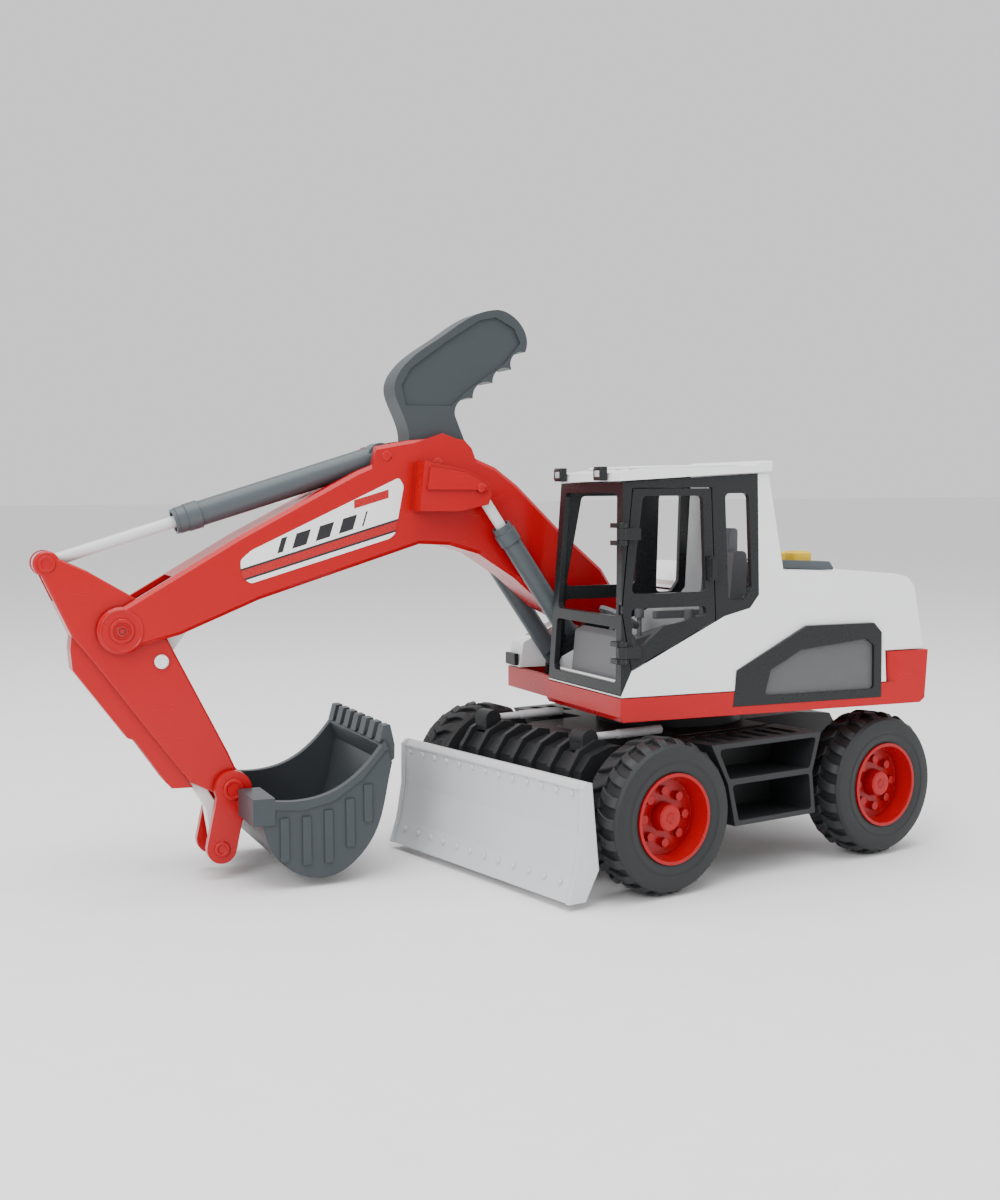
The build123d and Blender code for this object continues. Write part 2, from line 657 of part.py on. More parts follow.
SEAT_Y = 32.0
with BuildPart() as seat:
    block((-8, 16), (SEAT_Y - 11, SEAT_Y + 11), (83.4, 94), corner=3)
    block((-12, 20), (SEAT_Y - 14, SEAT_Y + 14), (94, 102), corner=4)
    slab([(-14, 100), (-4, 100), (-8, 139), (-14.5, 139)], SEAT_Y - 13, SEAT_Y + 13, corner=2.4)
    slab([(-13.6, 137), (-8.6, 137), (-9.6, 149), (-13.8, 149)], SEAT_Y - 6.5, SEAT_Y + 6.5, corner=1.8)
    for arm_y in (SEAT_Y - 15.5, SEAT_Y + 15.5):
        block((-10, 17), (arm_y - 1.6, arm_y + 1.6), (108, 111.4), corner=1.2)
        block((-12.5, -8), (arm_y - 1.6, arm_y + 1.6), (98, 111.4))
write(seat, "seat", UPPER)

with BuildPart() as cab_console:
    block((-21, 56), (-1.2, 62.8), (SHELL_BOTTOM, 83.2), corner=2)
    slab([(44, 83), (54, 83), (52, 104), (47, 106), (41, 96)], 8, 54, corner=1.5)
    slab([(4, 83), (28, 83), (27, 98), (4, 104)], 50.5, 59, corner=1.5)
    slab([(4, 83), (28, 83), (27, 98), (4, 104)], 4, 13.5, corner=1.5)
    for lever_y in (8.7, 54.7):
        rod_z((20, lever_y), 1.1, 97, 109)
        rod_z((20, lever_y), 2.2, 108, 115)
    with BuildSketch(Plane((42.6, SEAT_Y, 110), z_dir=(-0.5, 0, 0.87))) as wheel_face:
        Circle(9.5)
        Circle(7.6, mode=Mode.SUBTRACT)
        Rectangle(16.4, 1.8)
    extrude(wheel_face.sketch, amount=1.7)
    rod_along((42.6, 110.6), (47.2, 102.6), SEAT_Y, 1.4)
write(cab_console, "cab_console", UPPER)


# ---------------------------------------------------------------- arm mounting
with BuildPart() as boom_cradle:
    block((-3, 47), (ARM_Y - 23.6, ARM_Y + 23.6), (72.4, 75), corner=2)
    for side in (1, -1):
        y_low, y_high = sorted((ARM_Y + side * 13.4, ARM_Y + side * 16.2))
        slab([(2, 74), (24, 74), (20.4, 99), (3.6, 99)], y_low, y_high)
        rod_y(BOOM_FOOT, 8.6, y_low, y_high)
        for ear in (RAM_DY - 3.6, RAM_DY + 3.6):
            y_low, y_high = sorted((ARM_Y + side * (ear - 1), ARM_Y + side * (ear + 1)))
            slab([(31.5, 74), (40.5, 74), (39.4, 84), (32.6, 84)], y_low, y_high)
            rod_y(RAM_FOOT, 3.4, y_low, y_high)
    rod_y(BOOM_FOOT, AXLE_R, -80, 20, mode=Mode.SUBTRACT)
    rod_y(RAM_FOOT, 1.5, -80, 20, mode=Mode.SUBTRACT)
    block((-20, 80), (CAB_RIGHT - 0.3, 20), (60, 140), mode=Mode.SUBTRACT)
write(boom_cradle, "boom_cradle", UPPER)

with BuildPart() as cradle_pins:
    rod_y(BOOM_FOOT, AXLE_R, ARM_Y - 16.6, ARM_Y + 16.6)
    for side in (1, -1):
        y_low, y_high = sorted((ARM_Y + side * 14.2, ARM_Y + side * 23.6))
        rod_y(RAM_FOOT, 1.5, y_low, y_high)
write(cradle_pins, "cradle_pins", UPPER)


# ---------------------------------------------------------------- boom
BOOM_SIDE = [
    (251.0, 117.0),
    (197.6, 148.0),
    (146.1, 175.0),
    (138.4, 178.2),
    (136.7, 186.2),
    (121.6, 188.9),
    (113.0, 189.6),
    (105.6, 192.1),
    (99.5, 189.8),
    (95.4, 189.1),
    (91.8, 185.3),
    (90.3, 181.2),
    (79.9, 176.8),
    (69.3, 168.8),
    (49.0, 149.0),
    (26.5, 129.5),
    (8.0, 100.5),
    (17.0, 91.5),
    (53.8, 111.3),
    (71.0, 126.3),
    (88.2, 137.6),
    (102.7, 142.0),
    (116.9, 142.8),
    (189.9, 120.3),
    (224.0, 106.5),
    (246.5, 101.0),
]
BOOM_END_R = 10.0
BOOM_FOOT_R = 9.0
FORK_R = 31.0
FORK_HALF = 9.0
SADDLE_HALF = 8.4
SADDLE_SIDE = [(120, 176), (142, 173), (146, 200), (84, 200), (87, 171)]
POCKET_DY = (13.6, 22.4)
BOX_OUT = 24.2
BOX_SIDE = [
    (118.4, 179.6),
    (120.4, 157.5),
    (101.7, 157.3),
    (88.4, 160.2),
    (86.6, 165),
    (87.3, 169.4),
    (98.6, 175.6),
]
BOX_CROWN = [(116, 177), (117.6, 167), (88.6, 166.6), (89, 169), (99.2, 174.4)]
BOOM_PINS = (STICK_PIVOT, STICK_RAM_REAR, GRIP_PIVOT, BOOM_FOOT)


def boom_outline(y_low, y_high, inset=0.0, mode=Mode.ADD):
    """The boom's side outline with its two round ends, drawn inset from the outside."""
    with BuildSketch(Plane.XZ.offset(-y_high)) as outline:
        Polygon(*BOOM_SIDE, align=None)
        with Locations(STICK_PIVOT):
            Circle(BOOM_END_R)
        with Locations(BOOM_FOOT):
            Circle(BOOM_FOOT_R)
        if inset:
            offset(amount=-inset, kind=Kind.INTERSECTION)
    extrude(outline.sketch, amount=y_high - y_low, mode=mode)


for side_name, side in (("left", 1), ("right", -1)):
    low, high = sorted((ARM_Y, ARM_Y + side * BOOM_HALF))
    core_low, core_high = sorted((ARM_Y, ARM_Y + side * (BOOM_HALF - WALL)))
    fork_low, fork_high = sorted((ARM_Y, ARM_Y + side * FORK_HALF))
    saddle_low, saddle_high = sorted((ARM_Y, ARM_Y + side * SADDLE_HALF))
    box_low, box_high = sorted((ARM_Y + side * (BOOM_HALF - 1), ARM_Y + side * BOX_OUT))
    pocket_low, pocket_high = sorted(ARM_Y + side * dy for dy in POCKET_DY)
    with BuildPart() as boom_shell:
        boom_outline(low, high)
        bevel_outer_face(boom_shell, side, 1.6, 10)
        boom_outline(core_low, core_high, inset=WALL, mode=Mode.SUBTRACT)
        slab(BOX_SIDE, box_low, box_high)
        slab(BOX_CROWN, *sorted((ARM_Y + side * (BOX_OUT - 1), ARM_Y + side * (BOX_OUT + 1.2))))
        for centre in (STICK_RAM_REAR, GRIP_PIVOT, BOOM_FOOT):
            rod_y(centre, 4.2, *sorted((ARM_Y + side * SADDLE_HALF, ARM_Y + side * (BOOM_HALF - 1))))
        rod_y(STICK_PIVOT, FORK_R, fork_low, fork_high, mode=Mode.SUBTRACT)
        slab(SADDLE_SIDE, saddle_low, saddle_high, mode=Mode.SUBTRACT)
        rod_y(GRIP_PIVOT, 11, saddle_low, saddle_high, mode=Mode.SUBTRACT)
        rod_along(STICK_RAM_REAR, STICK_RAM_TOP, ARM_Y, 7.6, mode=Mode.SUBTRACT)
        rod_y(STICK_RAM_REAR, 7.6, saddle_low, saddle_high, mode=Mode.SUBTRACT)
        bar_between(RAM_TOP, along(RAM_TOP, RAM_FOOT, 40), 5.4, pocket_low, pocket_high, mode=Mode.SUBTRACT)
        for centre in BOOM_PINS:
            hole_r = AXLE_R if centre != BOOM_FOOT else AXLE_R + RUN
            rod_y(centre, hole_r, low - 1, high + 1, mode=Mode.SUBTRACT)
        rod_y(RAM_TOP, 1.5, box_low - 3, box_high + 3, mode=Mode.SUBTRACT)
    write(boom_shell, f"boom_shell_{side_name}", UPPER)

with BuildPart() as boom_pins:
    for centre in (STICK_PIVOT, STICK_RAM_REAR, GRIP_PIVOT):
        rod_y(centre, AXLE_R, ARM_Y - BOOM_HALF + 0.8, ARM_Y + BOOM_HALF - 0.8)
    for side in (1, -1):
        rod_y(RAM_TOP, 1.5, *sorted((ARM_Y + side * (BOOM_HALF - WALL), ARM_Y + side * BOX_OUT)))
write(boom_pins, "boom_pins", UPPER)

GRIP_HALF = 8.0
GRIP_BACK = [
    (119.8, 189.0),
    (122.6, 200.5),
    (126.4, 213.5),
    (121.0, 223.0),
    (104.0, 235.4),
    (86.5, 246.2),
    (76.5, 248.4),
]
GRIP_TIP = [(76.5, 248.4), (66.0, 243.0), (62.2, 234.5), (63.2, 229.6)]
GROOVES = [(63.2, 229.6), (70.0, 221.6), (79.4, 215.3), (89.2, 208.2), (97.8, 200.0)]
GROOVE_DEPTH = 3.4


GRIP_RECESS = [
    (77.6, 245.0),
    (68.6, 240.2),
    (65.4, 233.4),
    (73.6, 223.8),
    (83.0, 217.4),
    (92.8, 210.4),
    (99.6, 204.4),
    (121.2, 204.4),
    (123.2, 213.4),
    (118.8, 221.0),
    (102.8, 232.6),
    (86.0, 243.2),
]


def grip_outline(y_low, y_high):
    """The hand grip's outline: a curved back, a round tip, four finger grooves and a flared base."""
    with BuildSketch(Plane.XZ.offset(-y_high)) as outline:
        with BuildLine():
            Spline(*GRIP_BACK)
            Spline(*GRIP_TIP)
            for start, end in zip(GROOVES[:-1], GROOVES[1:]):
                middle = ((start[0] + end[0]) / 2, (start[1] + end[1]) / 2)
                run = Vector(end[0] - start[0], end[1] - start[1]).normalized()
                deepest = (middle[0] - run.Y * GROOVE_DEPTH, middle[1] + run.X * GROOVE_DEPTH)
                ThreePointArc(start, deepest, end)
            Polyline(GROOVES[-1], (93.4, 189.0), (99.0, 176.0), (116.5, 176.0), GRIP_BACK[0])
        make_face()
    extrude(outline.sketch, amount=y_high - y_low)


RECESS = 1.2
with BuildPart() as grip:
    grip_outline(ARM_Y - GRIP_HALF, ARM_Y + GRIP_HALF)
    rod_y(GRIP_PIVOT, 8.6, ARM_Y - GRIP_HALF, ARM_Y + GRIP_HALF)
    for side in (1, -1):
        y_low, y_high = sorted((ARM_Y + side * (GRIP_HALF - RECESS), ARM_Y + side * (GRIP_HALF + 2)))
        slab(GRIP_RECESS, y_low, y_high, corner=1.2, mode=Mode.SUBTRACT)
    rod_y(GRIP_PIVOT, AXLE_R + RUN, -80, 20, mode=Mode.SUBTRACT)
write(grip, "grip", UPPER)


# ---------------------------------------------------------------- rams
BOOM_RAM_LENGTH = 80.0
BOOM_RAM_REACH = 68.0
STICK_RAM_LENGTH = 96.0
STICK_RAM_REACH = 92.0

with BuildPart() as boom_barrels:
    for y in (ARM_Y - RAM_DY, ARM_Y + RAM_DY):
        rod_along(RAM_FOOT, along(RAM_FOOT, RAM_TOP, BOOM_RAM_LENGTH), y, 4.5)
        collar_start = along(RAM_FOOT, RAM_TOP, BOOM_RAM_LENGTH - 9)
        rod_along(collar_start, along(RAM_FOOT, RAM_TOP, BOOM_RAM_LENGTH - 3), y, 5.1)
        bore_start = along(RAM_FOOT, RAM_TOP, 8)
        rod_along(bore_start, along(RAM_FOOT, RAM_TOP, BOOM_RAM_LENGTH + 5), y, 3.6, mode=Mode.SUBTRACT)
        rod_y(RAM_FOOT, 7, y + 2.3, y + 9, mode=Mode.SUBTRACT)
        rod_y(RAM_FOOT, 7, y - 9, y - 2.3, mode=Mode.SUBTRACT)
        rod_y(RAM_FOOT, 3.6, y - 2.3, y + 2.3)
        rod_y(RAM_FOOT, 1.5 + RUN, y - 9, y + 9, mode=Mode.SUBTRACT)
write(boom_barrels, "boom_barrels", UPPER)

with BuildPart() as boom_rods:
    for y in (ARM_Y - RAM_DY, ARM_Y + RAM_DY):
        rod_along(RAM_TOP, along(RAM_TOP, RAM_FOOT, BOOM_RAM_REACH), y, 2.5)
        rod_y(RAM_TOP, 3.6, y - 3, y + 3)
        rod_y(RAM_TOP, 1.5 + RUN, y - 9, y + 9, mode=Mode.SUBTRACT)
write(boom_rods, "boom_rods", UPPER)

with BuildPart() as stick_barrel:
    rod_along(STICK_RAM_REAR, along(STICK_RAM_REAR, STICK_RAM_TOP, STICK_RAM_LENGTH), ARM_Y, 5.5)
    for start, end, radius in ((84.5, 90.5, 6.1), (90.5, 94.5, 5.8)):
        rod_along(
            along(STICK_RAM_REAR, STICK_RAM_TOP, start),
            along(STICK_RAM_REAR, STICK_RAM_TOP, end),
            ARM_Y,
            radius,
        )
    rod_y(STICK_RAM_REAR, 6.0, ARM_Y - 4.8, ARM_Y + 4.8)
    bore_end = along(STICK_RAM_REAR, STICK_RAM_TOP, STICK_RAM_LENGTH + 5)
    rod_along(along(STICK_RAM_REAR, STICK_RAM_TOP, 9), bore_end, ARM_Y, 4.5, mode=Mode.SUBTRACT)
    rod_y(STICK_RAM_REAR, AXLE_R + RUN, -80, 20, mode=Mode.SUBTRACT)
write(stick_barrel, "stick_barrel", UPPER)

with BuildPart() as stick_rod:
    rod_along(STICK_RAM_TOP, along(STICK_RAM_TOP, STICK_RAM_REAR, STICK_RAM_REACH), ARM_Y, 2.6)
    rod_y(STICK_RAM_TOP, 5.0, ARM_Y - 3.6, ARM_Y + 3.6)
    rod_y(STICK_RAM_TOP, AXLE_R + RUN, -80, 20, mode=Mode.SUBTRACT)
write(stick_rod, "stick_rod", UPPER)


# ---------------------------------------------------------------- stick
STICK_SIDE = [
    (275.8, 141.2),
    (262.0, 134.6),
    (242.1, 122.4),
    (228.7, 104.0),
    (204.2, 54.8),
    (198.2, 41.0),
    (206.0, 35.0),
    (220.6, 42.6),
    (237.6, 65.6),
    (258.5, 94.6),
    (268.1, 107.1),
    (280.8, 135.2),
]
COVER_SIDE = [
    (256.0, 94.0),
    (262.0, 104.0),
    (268.1, 107.1),
    (268.7, 101.4),
    (268.0, 92.9),
    (246.3, 63.1),
    (243.5, 62.0),
    (230.9, 43.4),
    (228.1, 40.2),
    (219.0, 40.0),
]
COVER_HALF = 6.4
LINK_SLOT = 4.2
LINK_SLOT_SIDE = [
    (204.0, 26),
    (232, 34),
    (244, 60),
    (241, 72),
    (222, 72),
    (208, 46),
    (207.0, 37.5),
    (204.4, 32.5),
]


def stick_outline(y_low, y_high, inset=0.0, mode=Mode.ADD):
    """The stick's side outline with round ends at the ram pin and the bucket pin."""
    with BuildSketch(Plane.XZ.offset(-y_high)) as outline:
        Polygon(*STICK_SIDE, align=None)
        with Locations(STICK_RAM_TOP):
            Circle(5.4)
        with Locations(BUCKET_PIVOT):
            Circle(6.2)
        if inset:
            offset(amount=-inset, kind=Kind.INTERSECTION)
    extrude(outline.sketch, amount=y_high - y_low, mode=mode)


for side_name, side in (("left", 1), ("right", -1)):
    low, high = sorted((ARM_Y, ARM_Y + side * STICK_HALF))
    core_low, core_high = sorted((ARM_Y, ARM_Y + side * (STICK_HALF - 2)))
    slot_low, slot_high = sorted((ARM_Y, ARM_Y + side * LINK_SLOT))
    with BuildPart() as stick_shell:
        stick_outline(low, high)
        bevel_outer_face(stick_shell, side, 0.8, 8)
        slab(COVER_SIDE, *sorted((ARM_Y, ARM_Y + side * COVER_HALF)))
        stick_outline(core_low, core_high, inset=WALL, mode=Mode.SUBTRACT)
        rod_y(STICK_PIVOT, 4.6, *sorted((ARM_Y, ARM_Y + side * (STICK_HALF - 1))))
        rod_y(BUCKET_PIVOT, 4.6, *sorted((ARM_Y, ARM_Y + side * (STICK_HALF - 1))))
        rod_y(STICK_RAM_TOP, 16, slot_low, slot_high, mode=Mode.SUBTRACT)
        rod_y(LEVER_PIVOT, 20, slot_low, slot_high, mode=Mode.SUBTRACT)
        rod_y(STICK_PIVOT, 4.6, slot_low, slot_high)
        slab(LINK_SLOT_SIDE, slot_low, slot_high, mode=Mode.SUBTRACT)
        rod_y(STICK_PIVOT, AXLE_R + RUN, low - 1, high + 1, mode=Mode.SUBTRACT)
        rod_y(STICK_RAM_TOP, AXLE_R, low - 1, high + 1, mode=Mode.SUBTRACT)
        rod_y(BUCKET_PIVOT, AXLE_R + RUN, low - 1, high + 1, mode=Mode.SUBTRACT)
        rod_y(LEVER_PIVOT, AXLE_R + RUN, low - 1, high + 1, mode=Mode.SUBTRACT)
    write(stick_shell, f"stick_shell_{side_name}", UPPER)

with BuildPart() as stick_pin:
    rod_y(STICK_RAM_TOP, AXLE_R, ARM_Y - STICK_HALF + 0.6, ARM_Y + STICK_HALF - 0.6)
write(stick_pin, "stick_pin", UPPER)

LEVER_TIP = (222.5, 107.0)
with BuildPart() as bucket_lever:
    rod_y(LEVER_PIVOT, 4.0, ARM_Y - 3.6, ARM_Y + 3.6)
    bar_between(LEVER_PIVOT, LEVER_TIP, 2.3, ARM_Y - 2.6, ARM_Y + 2.6)
    rod_y(LEVER_PIVOT, AXLE_R, ARM_Y - STICK_HALF + 0.1, ARM_Y + STICK_HALF - 0.1)
write(bucket_lever, "bucket_lever", UPPER)


# ---------------------------------------------------------------- bucket
BUCKET_BACK = [(196.6, 39.0), (197.0, 28.6), (193.6, 17.3), (187.3, 9.6), (176.1, 4.2)]
BUCKET_FRONT = [(176.1, 4.2), (164.1, 5.3), (155.2, 11.6), (148.3, 20.9), (144.0, 33.8), (140.4, 50.6)]
BUCKET_LIP = (143.6, 60.4)
BUCKET_RIM = [BUCKET_LIP, (153.4, 49.0), (166.9, 40.2), (180.2, 37.4), (196.6, 39.0)]
INSIDE_BACK = [(194.3, 39.0), (194.7, 28.9), (191.6, 18.7), (185.8, 11.6), (175.7, 6.6)]
INSIDE_FRONT = [(175.7, 6.6), (165.0, 7.7), (156.7, 13.5), (150.3, 22.1), (146.2, 34.5), (142.8, 50.4)]
MOUTH = [(142.8, 50.4), (149.2, 70.0), (200.0, 70.0), (194.3, 39.0)]
RIM_BAND = 4.2
RIBS = ((188, 12, 30.5), (178.5, 10, 30.5), (169, 10, 32.5), (159.5, 16, 36.5), (151.5, 26, 42))
bucket_left = ARM_Y + BUCKET_HALF
bucket_right = ARM_Y - BUCKET_HALF


def bucket_outline(y_low, y_high, mode=Mode.ADD):
    """The bucket's side outline: a round belly closed by the sagging rim line."""
    with BuildSketch(Plane.XZ.offset(-y_high)) as outline:
        with BuildLine():
            Spline(*BUCKET_BACK)
            Spline(*BUCKET_FRONT)
            Line(BUCKET_FRONT[-1], BUCKET_LIP)
            Spline(*BUCKET_RIM)
        make_face()
    extrude(outline.sketch, amount=y_high - y_low, mode=mode)


with BuildPart() as rim_bands:
    for side in (1, -1):
        bucket_outline(*sorted((ARM_Y + side * (BUCKET_HALF - 4), ARM_Y + side * BUCKET_HALF)))
    below_band = [(130, -10), (130, 60 - RIM_BAND)]
    below_band += [(x, z - RIM_BAND) for x, z in BUCKET_RIM]
    below_band += [(210, 35), (210, -10)]
    slab(below_band, -100, 40, mode=Mode.SUBTRACT)

with BuildPart() as bucket_shell:
    bucket_outline(bucket_right + 1, bucket_left - 1)
    with BuildSketch(Plane.XZ.offset(4 - bucket_left)) as hollow:
        with BuildLine():
            Spline(*INSIDE_BACK)
            Spline(*INSIDE_FRONT)
            Polyline(*MOUTH)
        make_face()
    extrude(hollow.sketch, amount=2 * BUCKET_HALF - 8, mode=Mode.SUBTRACT)
    add(rim_bands.part)
    for side in (1, -1):
        for rib_x, rib_low, rib_top in RIBS:
            rib_span = sorted((ARM_Y + side * (BUCKET_HALF - 1.1), ARM_Y + side * BUCKET_HALF))
            block((rib_x - 1.9, rib_x + 1.9), rib_span, (rib_low, rib_top), corner=0.4)
        block_span = sorted((ARM_Y + side * 14.4, ARM_Y + side * BUCKET_HALF))
        block((192.0, 201.4), block_span, (28, 39.4))
    rod_y(BUCKET_PIVOT, 8.8, ARM_Y - 14.4, ARM_Y + 14.4, mode=Mode.SUBTRACT)
write(bucket_shell, "bucket_shell", UPPER)

TOOTH_PITCH = 11.9
TOOTH_SIDE = [
    (140.9, 50.6),
    (143.9, 60.0),
    (145.6, 59.2),
    (143.6, 66.4),
    (140.6, 66.6),
    (138.7, 58.0),
    (138.9, 52),
]
with BuildPart() as bucket_teeth:
    for tooth in range(-3, 4):
        middle = ARM_Y + tooth * TOOTH_PITCH
        slab(TOOTH_SIDE, middle - 3.4, middle + 3.4)
    bucket_outline(bucket_right - 1, bucket_left + 1, mode=Mode.SUBTRACT)
write(bucket_teeth, "bucket_teeth", UPPER)

with BuildPart() as bucket_bracket:
    for side in (1, -1):
        y_low, y_high = sorted((ARM_Y + side * CHEEK_IN, ARM_Y + side * 13.2))
        bar_between(BUCKET_PIVOT, LINK_LOW, 6.4, y_low, y_high)
        rod_y(BUCKET_PIVOT, 8.0, y_low, y_high)
        slab([(203, 47), (198.6, 44), (197.6, 39), (197.6, 28.6), (206, 12), (212, 20)], y_low, y_high)
    for side in (1, -1):
        y_low, y_high = sorted((ARM_Y + side * 13.2, ARM_Y + side * 14.4))
        slab([(197.6, 28.4), (201.2, 28.4), (201.2, 39), (197.6, 39)], y_low, y_high)
    rod_y(BUCKET_PIVOT, AXLE_R, -80, 20, mode=Mode.SUBTRACT)
    rod_y(LINK_LOW, 1.5, -80, 20, mode=Mode.SUBTRACT)
write(bucket_bracket, "bucket_bracket", UPPER)

with BuildPart() as bucket_pins:
    rod_y(BUCKET_PIVOT, AXLE_R, ARM_Y - 13.2, ARM_Y + 13.2)
    rod_y(LINK_LOW, 1.5, ARM_Y - 13.2, ARM_Y + 13.2)
write(bucket_pins, "bucket_pins", UPPER)

with BuildPart() as bucket_link:
    bend = (211.0, 31.0)
    bar_between(LINK_LOW, bend, 2.4, ARM_Y - 3.4, ARM_Y + 3.4)
    bar_between(bend, LINK_HIGH, 2.4, ARM_Y - 3.4, ARM_Y + 3.4)
    rod_y(LINK_LOW, 3.4, ARM_Y - 3.4, ARM_Y + 3.4)
    rod_y(LINK_LOW, 1.5 + RUN, -80, 20, mode=Mode.SUBTRACT)
write(bucket_link, "bucket_link", UPPER)
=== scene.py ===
"""Looks for the toy wheeled excavator.

Adds the treaded tyres, labels, rivets, pin heads and lamps, and gives every part its finish.
"""

import math

import bpy
from mathutils import Matrix, Vector


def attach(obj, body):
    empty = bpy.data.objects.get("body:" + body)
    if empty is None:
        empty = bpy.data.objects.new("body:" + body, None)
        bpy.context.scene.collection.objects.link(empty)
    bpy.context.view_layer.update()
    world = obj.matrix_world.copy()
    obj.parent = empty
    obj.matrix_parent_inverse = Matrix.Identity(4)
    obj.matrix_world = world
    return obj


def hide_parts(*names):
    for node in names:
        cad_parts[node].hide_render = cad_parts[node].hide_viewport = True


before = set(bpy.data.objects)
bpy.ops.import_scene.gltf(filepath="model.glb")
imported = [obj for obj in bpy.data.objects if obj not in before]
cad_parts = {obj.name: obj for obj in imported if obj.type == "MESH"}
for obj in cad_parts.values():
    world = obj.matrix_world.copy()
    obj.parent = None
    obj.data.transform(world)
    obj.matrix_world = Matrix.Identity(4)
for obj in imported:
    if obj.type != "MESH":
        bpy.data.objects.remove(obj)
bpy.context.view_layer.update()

MM = 0.001
SLEW_X = -87.14
SLEW = math.radians(12.0)
UPPER = Matrix.Translation((SLEW_X * MM, 0, 0))
LOWER = UPPER @ Matrix.Rotation(SLEW, 4, "Z")
ARM_Y = -29.0
BOOM_HALF = 13.0
STICK_HALF = 8.6
CHEEK_OUT = 13.2  # outer face of the bucket bracket's cheeks, from the arm's middle plane
CROWN_OUT = 25.2  # outer face of the boom's side boxes
BOOM_FOOT = (12.0, 96.0)
STICK_PIVOT = (248.5, 109.1)
STICK_RAM_REAR = (132.0, 182.0)
STICK_RAM_TOP = (277.5, 137.5)
GRIP_PIVOT = (108.0, 179.0)
RAM_TOP = (92.0, 167.5)
LEVER_PIVOT = (231.8, 95.2)
BUCKET_PIVOT = (203.0, 39.0)
LINK_LOW = (208.5, 13.6)
WHEEL_R = 32.5
WHEEL_W = 22.9
TRACK_OUT = 77.1
WHEELBASE = 125.3


# ------------------------------------------------------------------ modelling
def deselect():
    """Leave nothing selected, so the next tool acts only on its own piece."""
    bpy.ops.object.select_all(action="DESELECT")


def pick(piece):
    """Make one piece the only selected one."""
    deselect()
    piece.select_set(True)
    bpy.context.view_layer.objects.active = piece


def mark(piece, faces=None, verts=None):
    """In edit mode, select the faces or corners that pass a test."""
    bpy.ops.object.mode_set(mode="OBJECT")
    mesh = piece.data
    for part in (mesh.polygons, mesh.edges, mesh.vertices):
        part.foreach_set("select", [False] * len(part))
    if faces:
        bpy.context.tool_settings.mesh_select_mode = (False, False, True)
        for face in mesh.polygons:
            face.select = faces(face)
    if verts:
        bpy.context.tool_settings.mesh_select_mode = (True, False, False)
        for vert in mesh.vertices:
            vert.select = verts(vert.co)
    bpy.ops.object.mode_set(mode="EDIT")


def done(piece, name, place=None, smooth=30.0):
    """Leave edit mode, name the piece, put its place into its mesh and smooth its rounded faces."""
    if bpy.context.mode != "OBJECT":
        bpy.ops.object.mode_set(mode="OBJECT")
    pick(piece)
    piece.name = name
    piece.data.name = name
    piece.data.transform((place or Matrix.Identity(4)) @ piece.matrix_basis)
    piece.matrix_basis = Matrix.Identity(4)
    bpy.ops.object.shade_smooth_by_angle(angle=math.radians(smooth))
    return piece


def soften(piece, width, segments=2, angle=40.0):
    """Round the sharp edges with an applied bevel."""
    pick(piece)
    bevel = piece.modifiers.new("soft_edges", "BEVEL")
    bevel.width = width * MM
    bevel.segments = segments
    bevel.limit_method = "ANGLE"
    bevel.angle_limit = math.radians(angle)
    bpy.ops.object.modifier_apply(modifier=bevel.name)


def twin(piece, matrix, flip=False):
    """A copy with its own mesh, moved by matrix; flip turns a mirrored copy's faces back outwards."""
    other = piece.copy()
    other.data = piece.data.copy()
    bpy.context.collection.objects.link(other)
    other.data.transform(matrix)
    if flip:
        other.data.flip_normals()
    return other


def gather(pieces, name):
    """Join several pieces into one."""
    deselect()
    for piece in pieces:
        piece.select_set(True)
    bpy.context.view_layer.objects.active = pieces[0]
    bpy.ops.object.join()
    pieces[0].name = name
    pieces[0].data.name = name
    return pieces[0]


def block(centre, size, round_by=0.4, segments=2):
    """A rounded block; all numbers are in millimetres."""
    deselect()
    bpy.ops.mesh.primitive_cube_add(size=1, location=Vector(centre) * MM, scale=Vector(size) * MM)
    piece = bpy.context.object
    bpy.ops.object.transform_apply(location=True, rotation=True, scale=True)
    soften(piece, round_by, segments)
    return piece


def turned(centre, axis, radius, steps, sides=40):
    """A turned part: a disc facing along axis, then inset and raised by each (inset, rise) in turn."""
    deselect()
    turn = Vector((0, 0, 1)).rotation_difference(Vector(axis)).to_euler()
    bpy.ops.mesh.primitive_cylinder_add(
        vertices=sides, radius=radius * MM, depth=0.4 * MM, location=Vector(centre) * MM, rotation=turn
    )
    piece = bpy.context.object
    bpy.ops.object.transform_apply(location=True, rotation=True, scale=True)
    outward = Vector(axis).normalized()
    mark(piece, faces=lambda face: len(face.vertices) > 4 and face.normal.dot(outward) > 0.9)
    for inset, rise in steps:
        if inset:
            bpy.ops.mesh.inset(thickness=inset * MM, depth=rise * MM)
        else:
            lift = outward * rise * MM
            bpy.ops.mesh.extrude_region_move(TRANSFORM_OT_translate={"value": lift})
    bpy.ops.object.mode_set(mode="OBJECT")
    return piece


def outline_plate(points, y, side, thick, round_by=0.0):
    """A thin plate lying on a side face at y, cut to an (x, z) outline and raised outwards."""
    deselect()
    bpy.ops.mesh.primitive_circle_add(vertices=len(points), radius=MM, fill_type="NGON")
    piece = bpy.context.object
    for vert, (x, z) in zip(piece.data.vertices, points):
        vert.co = Vector((x, y, z)) * MM
    mark(piece, verts=lambda co: True)
    if round_by:
        bpy.ops.mesh.bevel(offset=round_by * MM, segments=4, affect="VERTICES")
    bpy.ops.mesh.select_all(action="SELECT")
    bpy.ops.mesh.extrude_region_move(TRANSFORM_OT_translate={"value": (0, side * thick * MM, 0)})
    bpy.ops.mesh.select_all(action="SELECT")
    bpy.ops.mesh.normals_make_consistent(inside=False)
    bpy.ops.object.mode_set(mode="OBJECT")
    return piece


